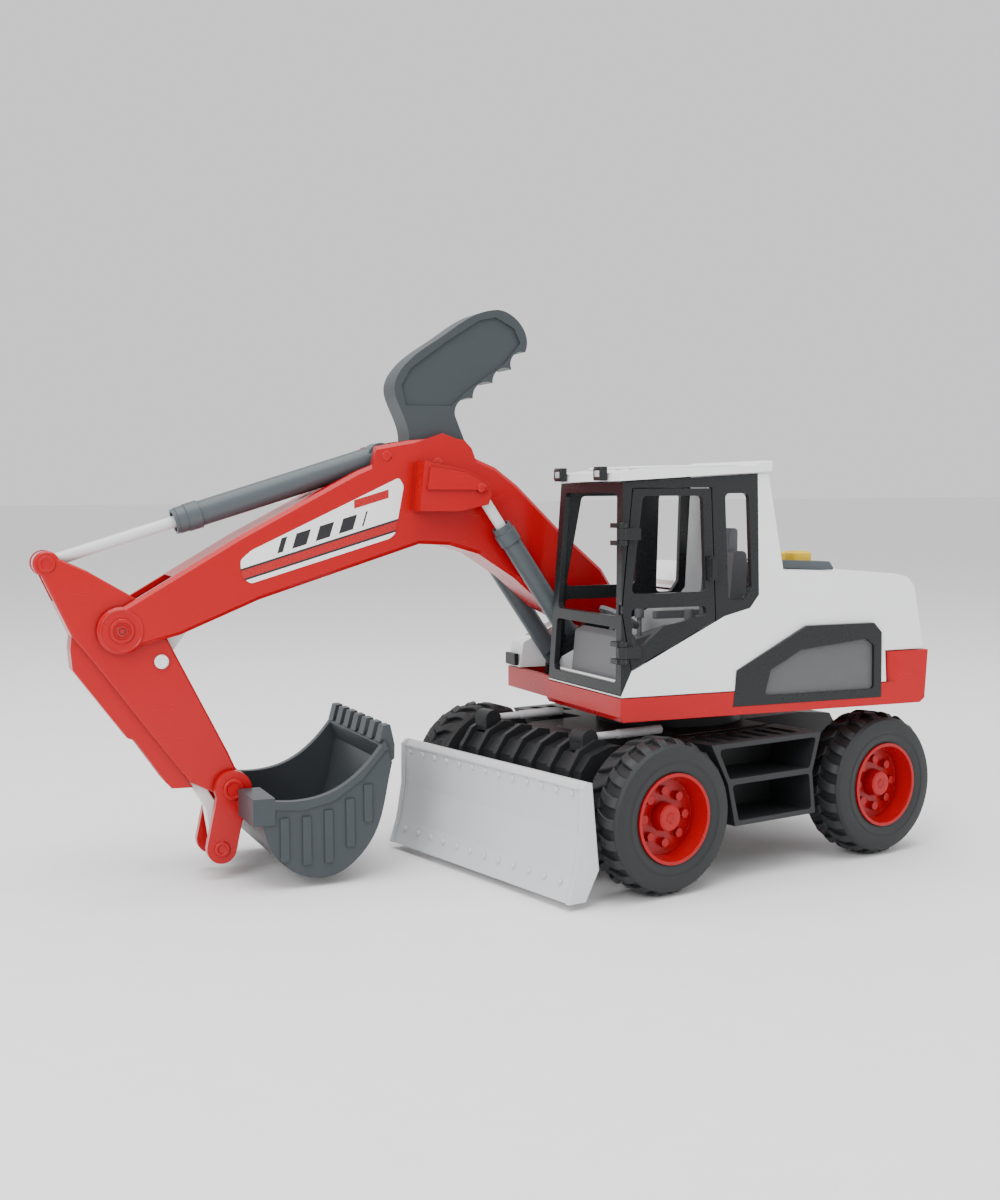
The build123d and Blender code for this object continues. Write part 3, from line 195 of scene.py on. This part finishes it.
# ------------------------------------------------------------------ shading
class Tap:
    """One socket of a material. Its operators add Math nodes."""

    def __init__(self, tree, socket=None):
        self.tree = tree
        self.socket = socket

    def make(self, kind, settings, values, output=0):
        """Any node: its type, its settings, the values or links of its sockets, and the output wanted."""
        node = self.tree.nodes.new(kind)
        for name, value in settings.items():
            setattr(node, name, value)
        for name, value in values.items():
            if isinstance(value, Tap):
                self.tree.links.new(value.socket, node.inputs[name])
            else:
                node.inputs[name].default_value = value
        return Tap(self.tree, node.outputs[output])

    def math(self, operation, other=None, reverse=False):
        """This value and another through one Math node."""
        values = (other, self) if reverse else (self, other)
        sockets = {index: value for index, value in enumerate(values) if value is not None}
        return self.make("ShaderNodeMath", {"operation": operation}, sockets)

    def __add__(self, other):
        return self.math("ADD", other)

    def __radd__(self, other):
        return self.math("ADD", other, True)

    def __sub__(self, other):
        return self.math("SUBTRACT", other)

    def __rsub__(self, other):
        return self.math("SUBTRACT", other, True)

    def __mul__(self, other):
        return self.math("MULTIPLY", other)

    def __gt__(self, other):
        return self.math("GREATER_THAN", other)

    def __lt__(self, other):
        return self.math("LESS_THAN", other)

    def sine(self):
        """The sine of this value."""
        return self.math("SINE")

    def between(self, low, high):
        """1 where this value lies between low and high, and 0 elsewhere."""
        return (self > low) * (self < high)

    def blend(self, low, high):
        """A colour that goes from low to high as this value goes from 0 to 1."""
        return self.make("ShaderNodeMix", {"data_type": "RGBA"}, {0: self, 6: low, 7: high}, 2)


def new_finish(name):
    """An empty material: its Principled shader and a Tap to build its nodes with."""
    finish = bpy.data.materials.new(name)
    finish.use_nodes = True
    return finish, finish.node_tree.nodes["Principled BSDF"], Tap(finish.node_tree)


def feed(shader, name, value):
    """Give one of the shader's sockets a number, a colour or a link."""
    if isinstance(value, Tap):
        value.tree.links.new(value.socket, shader.inputs[name])
    else:
        shader.inputs[name].default_value = value


def tint(colour, factor):
    """A colour made lighter or darker, with full cover."""
    return tuple(min(channel * factor, 1.0) for channel in colour) + (1.0,)


def noise(tap, place, scale, detail=3.0, stretch=None):
    """Noise with features of about 1/scale metres, drawn out along an axis by stretch."""
    if stretch:
        place = tap.make("ShaderNodeMapping", {}, {"Vector": place, "Scale": stretch})
    return tap.make("ShaderNodeTexNoise", {}, {"Vector": place, "Scale": scale, "Detail": detail})


def axes(tap, place):
    """The x, y and z of a place."""
    split = tap.make("ShaderNodeSeparateXYZ", {}, {"Vector": place}).socket.node
    return [Tap(tap.tree, split.outputs[letter]) for letter in "XYZ"]


def moulded(name, colour, rough, peel=0.12, peel_scale=700.0, mottle=0.06, coat=0.0, crease_shade=0.35, edge=0.45):
    """Moulded plastic: flow marks, fine texture, handling scuffs, rounded edges, creases darkened as painted
    shade.
    """
    finish, shader, tap = new_finish(name)
    place = tap.make("ShaderNodeTexCoord", {}, {}, "Object")
    flow = noise(tap, place, 28.0, 2.0, (1.0, 1.0, 0.45))
    fine = noise(tap, place, peel_scale, 4.0)
    smears = noise(tap, place, 90.0, 5.0, (1.0, 0.3, 1.0))
    scuffs = noise(tap, place, 260.0, 6.0, (0.15, 1.0, 1.0)).between(0.665, 0.69)
    shade = (flow * 0.6 + smears * 0.4).blend(tint(colour, 1.0 - mottle), tint(colour, 1.0 + mottle))
    # Painted shade: ambient occlusion darkens creases, recesses and gaps between parts towards a third of
    # the colour.
    open_air = tap.make("ShaderNodeAmbientOcclusion", {"samples": 6}, {"Distance": 0.0035}, "AO")
    shade = tap.make(
        "ShaderNodeMix",
        {"data_type": "RGBA", "blend_type": "MIX"},
        {0: (1.0 - open_air) * crease_shade, 6: shade, 7: tint(colour, 0.35)},
        2,
    )
    feed(shader, "Base Color", shade)
    feed(shader, "Roughness", rough + (smears - 0.5) * 0.08 + (fine - 0.5) * 0.05 + scuffs * 0.08)
    rounded = tap.make("ShaderNodeBevel", {"samples": 6}, {"Radius": edge * MM}, "Normal")
    height = fine * 0.7 + flow * 0.5 - scuffs * 0.25
    bumped = tap.make(
        "ShaderNodeBump", {}, {"Strength": peel, "Distance": 0.00012, "Height": height, "Normal": rounded}
    )
    feed(shader, "Normal", bumped)
    feed(shader, "Coat Weight", coat)
    shader.inputs["Coat Roughness"].default_value = 0.08
    shader.inputs["Specular IOR Level"].default_value = 0.3
    return finish


def label_finish(name):
    """A printed label: white ground, an edged stripe along the foot, four slanted bars and a plain tab."""
    finish, shader, tap = new_finish(name)
    place = tap.make("ShaderNodeTexCoord", {}, {}, "Object")
    x, _, z = axes(tap, place)
    run = x - (LABEL_FOOT[0] + SLEW_X) * MM
    above = z - run * LABEL_RISE - LABEL_FOOT[1] * MM
    grain = noise(tap, place, 900.0)
    ink = (0.012, 0.012, 0.014, 1)
    stripe_red = (0.42, 0.004, 0.006, 1)
    slant = run + above * 0.35
    bars = (slant * (math.tau / 0.0105)).sine() > -0.35
    bars = bars * above.between(0.0092, 0.0152) * slant.between(0.0155, 0.0545)
    paint = grain.blend((0.84, 0.85, 0.86, 1), (0.9, 0.91, 0.92, 1))
    for patch, colour in (
        (above.between(0.0021, 0.0076), ink),
        (above.between(0.0030, 0.0067), stripe_red),
        (bars, ink),
        (above.between(0.0180, 0.0218) * run.between(0.0005, 0.0165), stripe_red),
    ):
        paint = patch.blend(paint, colour)
    feed(shader, "Base Color", paint)
    feed(shader, "Roughness", 0.24 + grain * 0.08)
    bumped = tap.make("ShaderNodeBump", {}, {"Strength": 0.1, "Distance": 0.00005, "Height": grain})
    feed(shader, "Normal", bumped)
    return finish


def mesh_finish(name):
    """A fine moulded grille mesh: crossed wires over holes painted near-black as painted shade."""
    finish, shader, tap = new_finish(name)
    place = tap.make("ShaderNodeTexCoord", {}, {}, "Object")
    x, _, z = axes(tap, place)
    pitch = math.tau / 0.0013
    weave = ((x + z) * pitch).sine() * ((x - z) * pitch).sine()
    wires = weave.math("ABSOLUTE").math("LESS_THAN", 0.42)
    grain = noise(tap, place, 1200.0)
    wire_shade = grain.blend((0.11, 0.115, 0.12, 1), (0.2, 0.205, 0.21, 1))
    # Painted shade: the holes between the wires are painted near-black for the shadowed inside behind the
    # mesh.
    shade = wires.blend((0.012, 0.012, 0.013, 1), wire_shade)
    feed(shader, "Base Color", shade)
    feed(shader, "Roughness", 0.5 - wires * 0.12 + grain * 0.05)
    height = wires + grain * 0.1
    bumped = tap.make("ShaderNodeBump", {}, {"Strength": 0.7, "Distance": 0.0003, "Height": height})
    feed(shader, "Normal", bumped)
    return finish


def steel_finish(name):
    """Turned steel: fine rings and a little staining."""
    finish, shader, tap = new_finish(name)
    place = tap.make("ShaderNodeTexCoord", {}, {}, "Object")
    rings = noise(tap, place, 2200.0, 3.0, (0.2, 1.0, 0.2))
    stain = noise(tap, place, 160.0, 4.0)
    feed(shader, "Base Color", stain.blend((0.5, 0.51, 0.53, 1), (0.66, 0.67, 0.69, 1)))
    feed(shader, "Metallic", 1.0)
    feed(shader, "Roughness", 0.22 + rings * 0.16 + stain * 0.08)
    bumped = tap.make("ShaderNodeBump", {}, {"Strength": 0.2, "Distance": 0.00005, "Height": rings})
    feed(shader, "Normal", bumped)
    return finish


def lens_finish(name):
    """A lamp lens: prism ribs with a painted highlight on each crest and painted shade in each groove, under
    a clear coat.
    """
    finish, shader, tap = new_finish(name)
    place = tap.make("ShaderNodeTexCoord", {}, {}, "Object")
    _, y, _ = axes(tap, place)
    ribs = (y * (math.tau / 0.0009)).sine()
    grain = noise(tap, place, 600.0)
    # Painted highlight and shade: the colour follows the ribs, pale on their crests and grey in the grooves.
    feed(shader, "Base Color", (ribs * 0.5 + 0.5).blend((0.42, 0.44, 0.46, 1), (0.7, 0.72, 0.74, 1)))
    feed(shader, "Roughness", 0.1 + grain * 0.08)
    feed(shader, "Coat Weight", 0.6)
    bumped = tap.make("ShaderNodeBump", {}, {"Strength": 0.5, "Distance": 0.0002, "Height": ribs})
    feed(shader, "Normal", bumped)
    return finish


LABEL = [
    (193.5, 141.5),
    (198.2, 137.5),
    (198.0, 130.5),
    (194.0, 127.3),
    (131.0, 145.6),
    (128.6, 147.8),
    (124.4, 168.8),
    (126.6, 172.4),
]
LABEL_FOOT = LABEL[4]
LABEL_RISE = (LABEL[3][1] - LABEL[4][1]) / (LABEL[3][0] - LABEL[4][0])

red = moulded("red_gloss", (0.43, 0.001, 0.0045), 0.24, peel=0.06, mottle=0.03, coat=0.0, crease_shade=0.6)
deep_red = moulded("rim_red", (0.36, 0.001, 0.004), 0.26, peel=0.08, mottle=0.04, coat=0.0, crease_shade=0.6)
white = moulded("body_white", (0.82, 0.83, 0.84), 0.33, mottle=0.02, crease_shade=0.35)
silver = moulded("blade_silver", (0.6, 0.62, 0.64), 0.36, mottle=0.05, peel=0.16, coat=0.1)
rod_white = moulded("rod_white", (0.66, 0.67, 0.69), 0.22, mottle=0.03)
cab_grey = moulded("cab_grey", (0.013, 0.0148, 0.016), 0.28, peel=0.14, mottle=0.15)
black = moulded("chassis_black", (0.017, 0.0185, 0.02), 0.4, peel=0.2, mottle=0.2)
slate = moulded("slate", (0.042, 0.051, 0.057), 0.4, peel=0.22, peel_scale=1100.0, mottle=0.12)
ram_grey = moulded("ram_grey", (0.075, 0.09, 0.1), 0.32, mottle=0.1)
seat_grey = moulded("seat_grey", (0.15, 0.155, 0.165), 0.5, peel=0.3, peel_scale=1300.0, mottle=0.1)
yellow = moulded("button_yellow", (0.82, 0.55, 0.03), 0.32, mottle=0.05)
tyre_grey = moulded(
    "tyre_grey", (0.019, 0.0205, 0.022), 0.5, peel=0.35, peel_scale=1500.0, mottle=0.2, crease_shade=0.5
)
label = label_finish("arm_label")
grille = mesh_finish("grille_mesh")
steel = steel_finish("turned_steel")
lens = lens_finish("lamp_lens")

FINISHES = {
    red: "lower_tray boom_shell_left boom_shell_right stick_shell_left stick_shell_right bucket_bracket",
    deep_red: "rims_front rims_rear hub_caps_front hub_caps_rear",
    white: "body_shell cab_roof bucket_link bucket_lever",
    black: "chassis_frame belly_plate step_box_left step_box_right axle_housing_front axle_housing_rear"
    " turntable_ring kingpin blade_bracket boom_cradle sound_unit battery_door front_step",
    cab_grey: "cab_frame cab_door door_hinges door_knuckles grille_surrounds roof_lamps",
    slate: "bucket_shell bucket_teeth grip",
    ram_grey: "boom_barrels stick_barrel control_deck",
    silver: "blade_plate blade_arms blade_rams",
    rod_white: "boom_rods stick_rod",
    tyre_grey: "tyres_front tyres_rear",
    yellow: "button_front button_rear",
    seat_grey: "seat cab_console",
    steel: "axle_front axle_rear blade_pin boom_pins stick_pin bucket_pins cradle_pins belly_screws",
    grille: "grille_meshes",
}


def dress(piece, finish):
    """Give a piece its finish."""
    if not piece.material_slots:
        piece.data.materials.append(None)
    for holder in piece.material_slots:
        holder.link = "OBJECT"
        holder.material = finish


for finish, names in FINISHES.items():
    for name in names.split():
        dress(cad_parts[name], finish)


def add_piece(piece, name, place, body, finish, smooth=30.0):
    """Finish one new piece and say what it rides on."""
    done(piece, name, place, smooth)
    dress(piece, finish)
    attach(piece, body)
    return piece


# ------------------------------------------------------------------ tyres
LUGS = 22
CARCASS_R = 30.3
CARCASS_HALF = 9.6
SIDEWALL = (
    (1.1, 1.15),
    (2.6, 0.5),
    (2.4, 0.1),
    (0.5, -0.35),
    (0.6, 0.0),
    (0.5, 0.3),
    (2.4, -0.25),
    (1.3, -0.5),
)
LUG_ROWS = (  # each row's move along the tread, outwards and down
    (0.0, 0.0, 0.0),
    (1.5, 0.0, 0.0),
    (2.7, 0.1, -0.05),
    (3.3, 0.25, -0.35),
    (3.5, 0.55, -1.7),
    (3.6, 0.35, -5.0),
)
LUG_LENGTH = 4.3
LUG_DEPTH = 2.9
LUG_CLEAR = 0.32  # the lugs' tops stay inside the round of the wheel


def tread_lug():
    """One tread lug: a strip from the middle over the shoulder, bent into half a chevron."""
    deselect()
    middle = (WHEEL_W / 2 - 0.2) / 2
    bpy.ops.mesh.primitive_grid_add(
        x_subdivisions=1, y_subdivisions=5, size=1, location=Vector((0, middle, WHEEL_R - LUG_CLEAR)) * MM
    )
    piece = bpy.context.object
    piece.scale = Vector((LUG_LENGTH, 2 * middle - 0.6, 1)) * MM
    bpy.ops.object.transform_apply(location=True, rotation=True, scale=True)
    rows = sorted({round(vert.co.y, 6) for vert in piece.data.vertices})
    for row, (along, out, down) in zip(rows, LUG_ROWS):
        mark(piece, verts=lambda co, row=row: abs(co.y - row) < 1e-5)
        bpy.ops.transform.translate(value=Vector((along, out - 0.4, down)) * MM)
        bpy.ops.object.mode_set(mode="OBJECT")
    mark(piece, faces=lambda face: True)
    bpy.ops.mesh.extrude_region_move(TRANSFORM_OT_translate={"value": Vector((0, -0.7, -LUG_DEPTH)) * MM})
    bpy.ops.mesh.select_all(action="SELECT")
    bpy.ops.mesh.normals_make_consistent(inside=False)
    bpy.ops.object.mode_set(mode="OBJECT")
    soften(piece, 0.35, 1, 35)
    return piece


def tyre():
    """One tyre about the Y axis: a carcass with ringed sidewalls and two staggered rows of lugs."""
    deselect()
    bpy.ops.mesh.primitive_cylinder_add(
        vertices=112, radius=CARCASS_R * MM, depth=2 * CARCASS_HALF * MM, rotation=(math.pi / 2, 0, 0)
    )
    carcass = bpy.context.object
    bpy.ops.object.transform_apply(location=True, rotation=True, scale=True)
    mark(carcass, faces=lambda face: len(face.vertices) > 4)
    for inset, rise in SIDEWALL:
        bpy.ops.mesh.inset(thickness=inset * MM, depth=rise * MM)
    bpy.ops.mesh.bridge_edge_loops()
    bpy.ops.object.mode_set(mode="OBJECT")
    lug = tread_lug()
    flip_side = Matrix.Scale(-1, 4, (0, 1, 0))
    pieces = [carcass]
    for index in range(LUGS):
        turn = Matrix.Rotation(math.tau * index / LUGS, 4, "Y")
        half = Matrix.Rotation(math.tau * (index + 0.5) / LUGS, 4, "Y")
        pieces.append(twin(lug, turn))
        pieces.append(twin(lug, half @ flip_side, flip=True))
    bpy.data.objects.remove(lug)
    return gather(pieces, "tyre")


pattern = tyre()
for axle, wheel_x in (("front", WHEELBASE / 2), ("rear", -WHEELBASE / 2)):
    pair = []
    for side in (1, -1):
        centre = Vector((wheel_x, side * (TRACK_OUT - WHEEL_W / 2), WHEEL_R)) * MM
        facing = Matrix.Scale(-1, 4, (1, 0, 0)) if side == -1 else Matrix.Identity(4)
        pair.append(twin(pattern, Matrix.Translation(centre) @ facing, flip=side == -1))
    tyres = gather(pair, f"treaded_tyres_{axle}")
    add_piece(tyres, f"treaded_tyres_{axle}", LOWER, f"{axle}_wheels", tyre_grey, 35)
    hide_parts(f"tyres_{axle}")
bpy.data.objects.remove(pattern)


# ------------------------------------------------------------------ hub caps
for axle, wheel_x in (("front", WHEELBASE / 2), ("rear", -WHEELBASE / 2)):
    caps = []
    for side in (1, -1):
        spot = (wheel_x, side * (TRACK_OUT - 4.0), WHEEL_R)
        steps = ((0, 0.5), (0.4, 0.25), (0.9, 0.0), (0.25, -0.35), (1.4, 0.0))
        caps.append(turned(spot, (0, side, 0), 5.5, steps, 48))
        nut = (wheel_x, spot[1] + side * 0.5, WHEEL_R)
        caps.append(turned(nut, (0, side, 0), 2.3, ((0, 0.5), (0.3, 0.3), (0.5, 0.0), (0.15, -0.3)), 6))
    pair = gather(caps, "caps")
    add_piece(pair, f"ringed_caps_{axle}", LOWER, f"{axle}_wheels", deep_red)


# ------------------------------------------------------------------ arm labels, pin heads and screws
# The turned trim's half-sections, as steps of (inset, rise) from the rim to the middle.
PIN_HEAD = ((0, 0.5), (0.35, 0.3), (1.1, 0.0), (0.2, -0.6), (1.0, 0.0), (0.2, 0.5), (0.5, 0.1))
PIN_CAP = ((0, 0.4), (0.5, 0.3), (0.6, 0.1))
CROWN_CAP = ((0, 0.3), (0.5, 0.3), (0.5, 0.1))
SOCKET = ((0, 0.1), (0.3, 0.1), (0.4, -0.35))
LOBE_RING = ((0, 0.2), (0.5, 0.2), (0.5, -0.3))
SCREW_WELL = ((0, 0.15), (0.35, 0.05), (0.4, -0.7), (0.9, 0.0), (0.25, 0.3))
RAM_STUD = ((0, 0.3), (0.3, 0.25), (1.0, 0.0), (0.2, -0.3))
BUCKET_STUD = ((0, 0.1), (0.3, 0.1), (1.0, 0.0))
LEVER_HEAD = ((0, 0.9), (0.5, 0.4), (0.7, 0.05), (0.3, -0.4))
BRACKET_BOSS = ((0, 0.5), (0.4, 0.3), (1.0, 0.0), (0.2, -0.35))
SCREW_SPOTS = ((222.0, 122.0), (168.0, 150.5), (108.0, 150.2), (72.0, 142.0), (38.0, 117.0))


def side_disc(centre, dy, side, radius, steps, sides):
    """A turned disc on one side of the arm, at centre (x, z) and dy out from the middle plane."""
    return turned((centre[0], ARM_Y + side * dy, centre[1]), (0, side, 0), radius, steps, sides)


for side_name, side in (("left", 1), ("right", -1)):
    plate = outline_plate(LABEL, ARM_Y + side * BOOM_HALF, side, 0.16, 1.2)
    add_piece(plate, f"arm_label_{side_name}", UPPER, "boom", label)

    heads = [
        side_disc(STICK_PIVOT, BOOM_HALF, side, 5.2, PIN_HEAD, 48),
        side_disc(BOOM_FOOT, BOOM_HALF, side, 4.2, PIN_HEAD, 48),
        side_disc(STICK_RAM_REAR, BOOM_HALF - 0.5, side, 2.3, PIN_CAP, 28),
        side_disc(GRIP_PIVOT, BOOM_HALF - 0.5, side, 2.3, PIN_CAP, 28),
        side_disc(RAM_TOP, CROWN_OUT, side, 2.2, CROWN_CAP, 28),
    ]
    add_piece(gather(heads, "heads"), f"pin_heads_{side_name}", UPPER, "boom", red)

    hole = side_disc(STICK_PIVOT, BOOM_HALF + 0.72, side, 1.7, SOCKET, 6)
    add_piece(hole, f"pin_socket_{side_name}", UPPER, "boom", black)

    ring = side_disc(STICK_PIVOT, BOOM_HALF - 0.1, side, 9.0, LOBE_RING, 64)
    add_piece(ring, f"lobe_ring_{side_name}", UPPER, "boom", red)

    studs = [
        side_disc(STICK_RAM_TOP, STICK_HALF - 0.2, side, 3.6, RAM_STUD, 32),
        side_disc(BUCKET_PIVOT, STICK_HALF - 0.3, side, 3.6, BUCKET_STUD, 32),
    ]
    add_piece(gather(studs, "studs"), f"stick_studs_{side_name}", UPPER, "stick", red)

    lever_head = side_disc(LEVER_PIVOT, STICK_HALF - 0.1, side, 3.0, LEVER_HEAD, 32)
    add_piece(lever_head, f"lever_head_{side_name}", UPPER, "bucket_lever", white)

    bosses = [
        side_disc(BUCKET_PIVOT, CHEEK_OUT - 0.1, side, 4.6, BRACKET_BOSS, 36),
        side_disc(LINK_LOW, CHEEK_OUT - 0.1, side, 3.4, BRACKET_BOSS, 36),
    ]
    add_piece(gather(bosses, "bosses"), f"bracket_bosses_{side_name}", UPPER, "bucket", red)

wells = [side_disc(spot, BOOM_HALF - 0.1, -1, 2.6, SCREW_WELL, 24) for spot in SCREW_SPOTS]
add_piece(gather(wells, "wells"), "boom_screw_wells", UPPER, "boom", red)


# ------------------------------------------------------------------ dozer blade trim
RIVET = ((0, 0.3), (0.25, 0.3), (0.45, 0.15))
TOP_RIVETS = 13
FOOT_RIVETS = 12
FOOT_LEAN = math.radians(-18)  # the moldboard's foot leans forward


def spread(count, half_span):
    """Evenly spaced places from one end of a span to the other."""
    return [2 * half_span * index / (count - 1) - half_span for index in range(count)]


rivets = []
rivet = turned((0, 0, 0), (1, 0, 0), 1.25, RIVET, 20)
for y in spread(TOP_RIVETS, 62):
    rivets.append(twin(rivet, Matrix.Translation(Vector((103.7, y, 45.6)) * MM)))
lean = Matrix.Rotation(FOOT_LEAN, 4, "Y")
for y in spread(FOOT_RIVETS, 60):
    rivets.append(twin(rivet, Matrix.Translation(Vector((108.2, y, 10.2)) * MM) @ lean))
bpy.data.objects.remove(rivet)
strip = block((103.75, 0, 48.2), (0.9, 134.0, 1.3), 0.35)
add_piece(gather(rivets + [strip], "rivets"), "blade_rivets", LOWER, "blade", silver)


# ------------------------------------------------------------------ cab roof lamps and trim
LAMP_SPOTS = (10.0, 50.0)
LAMP_X = 61.2
LAMP_Z = 173.1
ROOF_SLOPE = math.radians(1.2)
ROOF_RIBS = 4
ROOF_RIB_PITCH = 13.0


def faces_front(face):
    """True for the large front face of a lamp's block."""
    return face.normal.x > 0.9 and face.area > 4e-6


bezels = []
for lamp_y in LAMP_SPOTS:
    bezel = block((LAMP_X, lamp_y, LAMP_Z), (1.0, 7.4, 5.2), 0.5, 3)
    mark(bezel, faces=faces_front)
    bpy.ops.mesh.inset(thickness=0.7 * MM, depth=0)
    bpy.ops.mesh.inset(thickness=0.15 * MM, depth=-0.5 * MM)
    bpy.ops.object.mode_set(mode="OBJECT")
    bezels.append(bezel)
add_piece(gather(bezels, "bezels"), "lamp_bezels", UPPER, "house", cab_grey)
lenses = [block((LAMP_X, lamp_y, LAMP_Z), (0.7, 5.4, 3.4), 0.3, 2) for lamp_y in LAMP_SPOTS]
for glass in lenses:
    mark(glass, faces=faces_front)
    bpy.ops.mesh.inset(thickness=0.5 * MM, depth=0.15 * MM)
    bpy.ops.object.mode_set(mode="OBJECT")
add_piece(gather(lenses, "lenses"), "lamp_lenses", UPPER, "house", lens)

ribs = []
for index in range(ROOF_RIBS):
    ribs.append(block((21.0, 12.0 + ROOF_RIB_PITCH * index, 176.2), (52.0, 2.2, 1.4), 0.5, 3))
roof_ribs = gather(ribs, "ribs")
roof_ribs.data.transform(
    Matrix.Translation(Vector((21, 0, 175.9)) * MM)
    @ Matrix.Rotation(ROOF_SLOPE, 4, "Y")
    @ Matrix.Translation(Vector((-21, 0, -176.1)) * MM)
)
add_piece(roof_ribs, "roof_ribs", UPPER, "house", white)

for name, slot_x in (("button_front", -38.0), ("button_rear", -52.0)):
    grips = [block((slot_x - 3 + 2 * index, 27, 137.4), (0.8, 8.4, 0.7), 0.25) for index in range(4)]
    add_piece(gather(grips, "grips"), f"{name}_ribs", UPPER, name, yellow)


# ------------------------------------------------------------------ stage, light and camera
def studio_floor():
    """The pale floor and its paper finish."""
    deselect()
    bpy.ops.mesh.primitive_plane_add(size=60, location=(0, 0, 0))
    floor = bpy.context.object
    floor.name = "studio_floor"
    finish, shader, tap = new_finish("floor_paper")
    place = tap.make("ShaderNodeTexCoord", {}, {}, "Object")
    grain = noise(tap, place, 60.0)
    feed(shader, "Base Color", grain.blend((0.86, 0.86, 0.86, 1), (0.9, 0.9, 0.9, 1)))
    feed(shader, "Roughness", 0.75)
    dress(floor, finish)


def soft_light(name, place, aim, size, power):
    """A large soft lamp pointed at a spot; numbers in metres and watts."""
    lamp = bpy.data.lights.new(name, "AREA")
    lamp.shape = "RECTANGLE"
    lamp.size, lamp.size_y = size
    lamp.energy = power
    holder = bpy.data.objects.new(name, lamp)
    bpy.context.collection.objects.link(holder)
    holder.location = place
    holder.rotation_euler = (Vector(aim) - Vector(place)).to_track_quat("-Z", "Y").to_euler()


studio_floor()
soft_light("overhead", (0.1, 0.1, 1.3), (0, 0, 0.08), (1.2, 1.2), 20)
soft_light("key", (1.1, 1.0, 0.9), (0, 0, 0.1), (0.7, 0.7), 12)
soft_light("fill", (-1.2, 0.9, 0.5), (0, 0, 0.1), (1.0, 0.8), 3)
world = bpy.data.worlds.new("studio")
world.use_nodes = True
world.node_tree.nodes["Background"].inputs["Color"].default_value = (1, 1, 1, 1)
world.node_tree.nodes["Background"].inputs["Strength"].default_value = 1.0
bpy.context.scene.world = world

eye = bpy.data.cameras.new("camera")
eye.lens = 46.0
eye.sensor_fit = "VERTICAL"
eye.sensor_height = 36.0
eye.sensor_width = 36.0
eye.clip_start = 0.01
viewer = bpy.data.objects.new("camera", eye)
bpy.context.collection.objects.link(viewer)
AZIMUTH, ELEVATION, ROLL = 157.548, 3.967, -0.393
viewer.location = Vector((345.6 + SLEW_X, 630.1, 165.0)) * MM
viewer.rotation_euler = (
    Matrix.Rotation(math.radians(AZIMUTH), 3, "Z")
    @ Matrix.Rotation(math.radians(90 - ELEVATION), 3, "X")
    @ Matrix.Rotation(math.radians(ROLL), 3, "Z")
).to_euler()
bpy.context.scene.camera = viewer
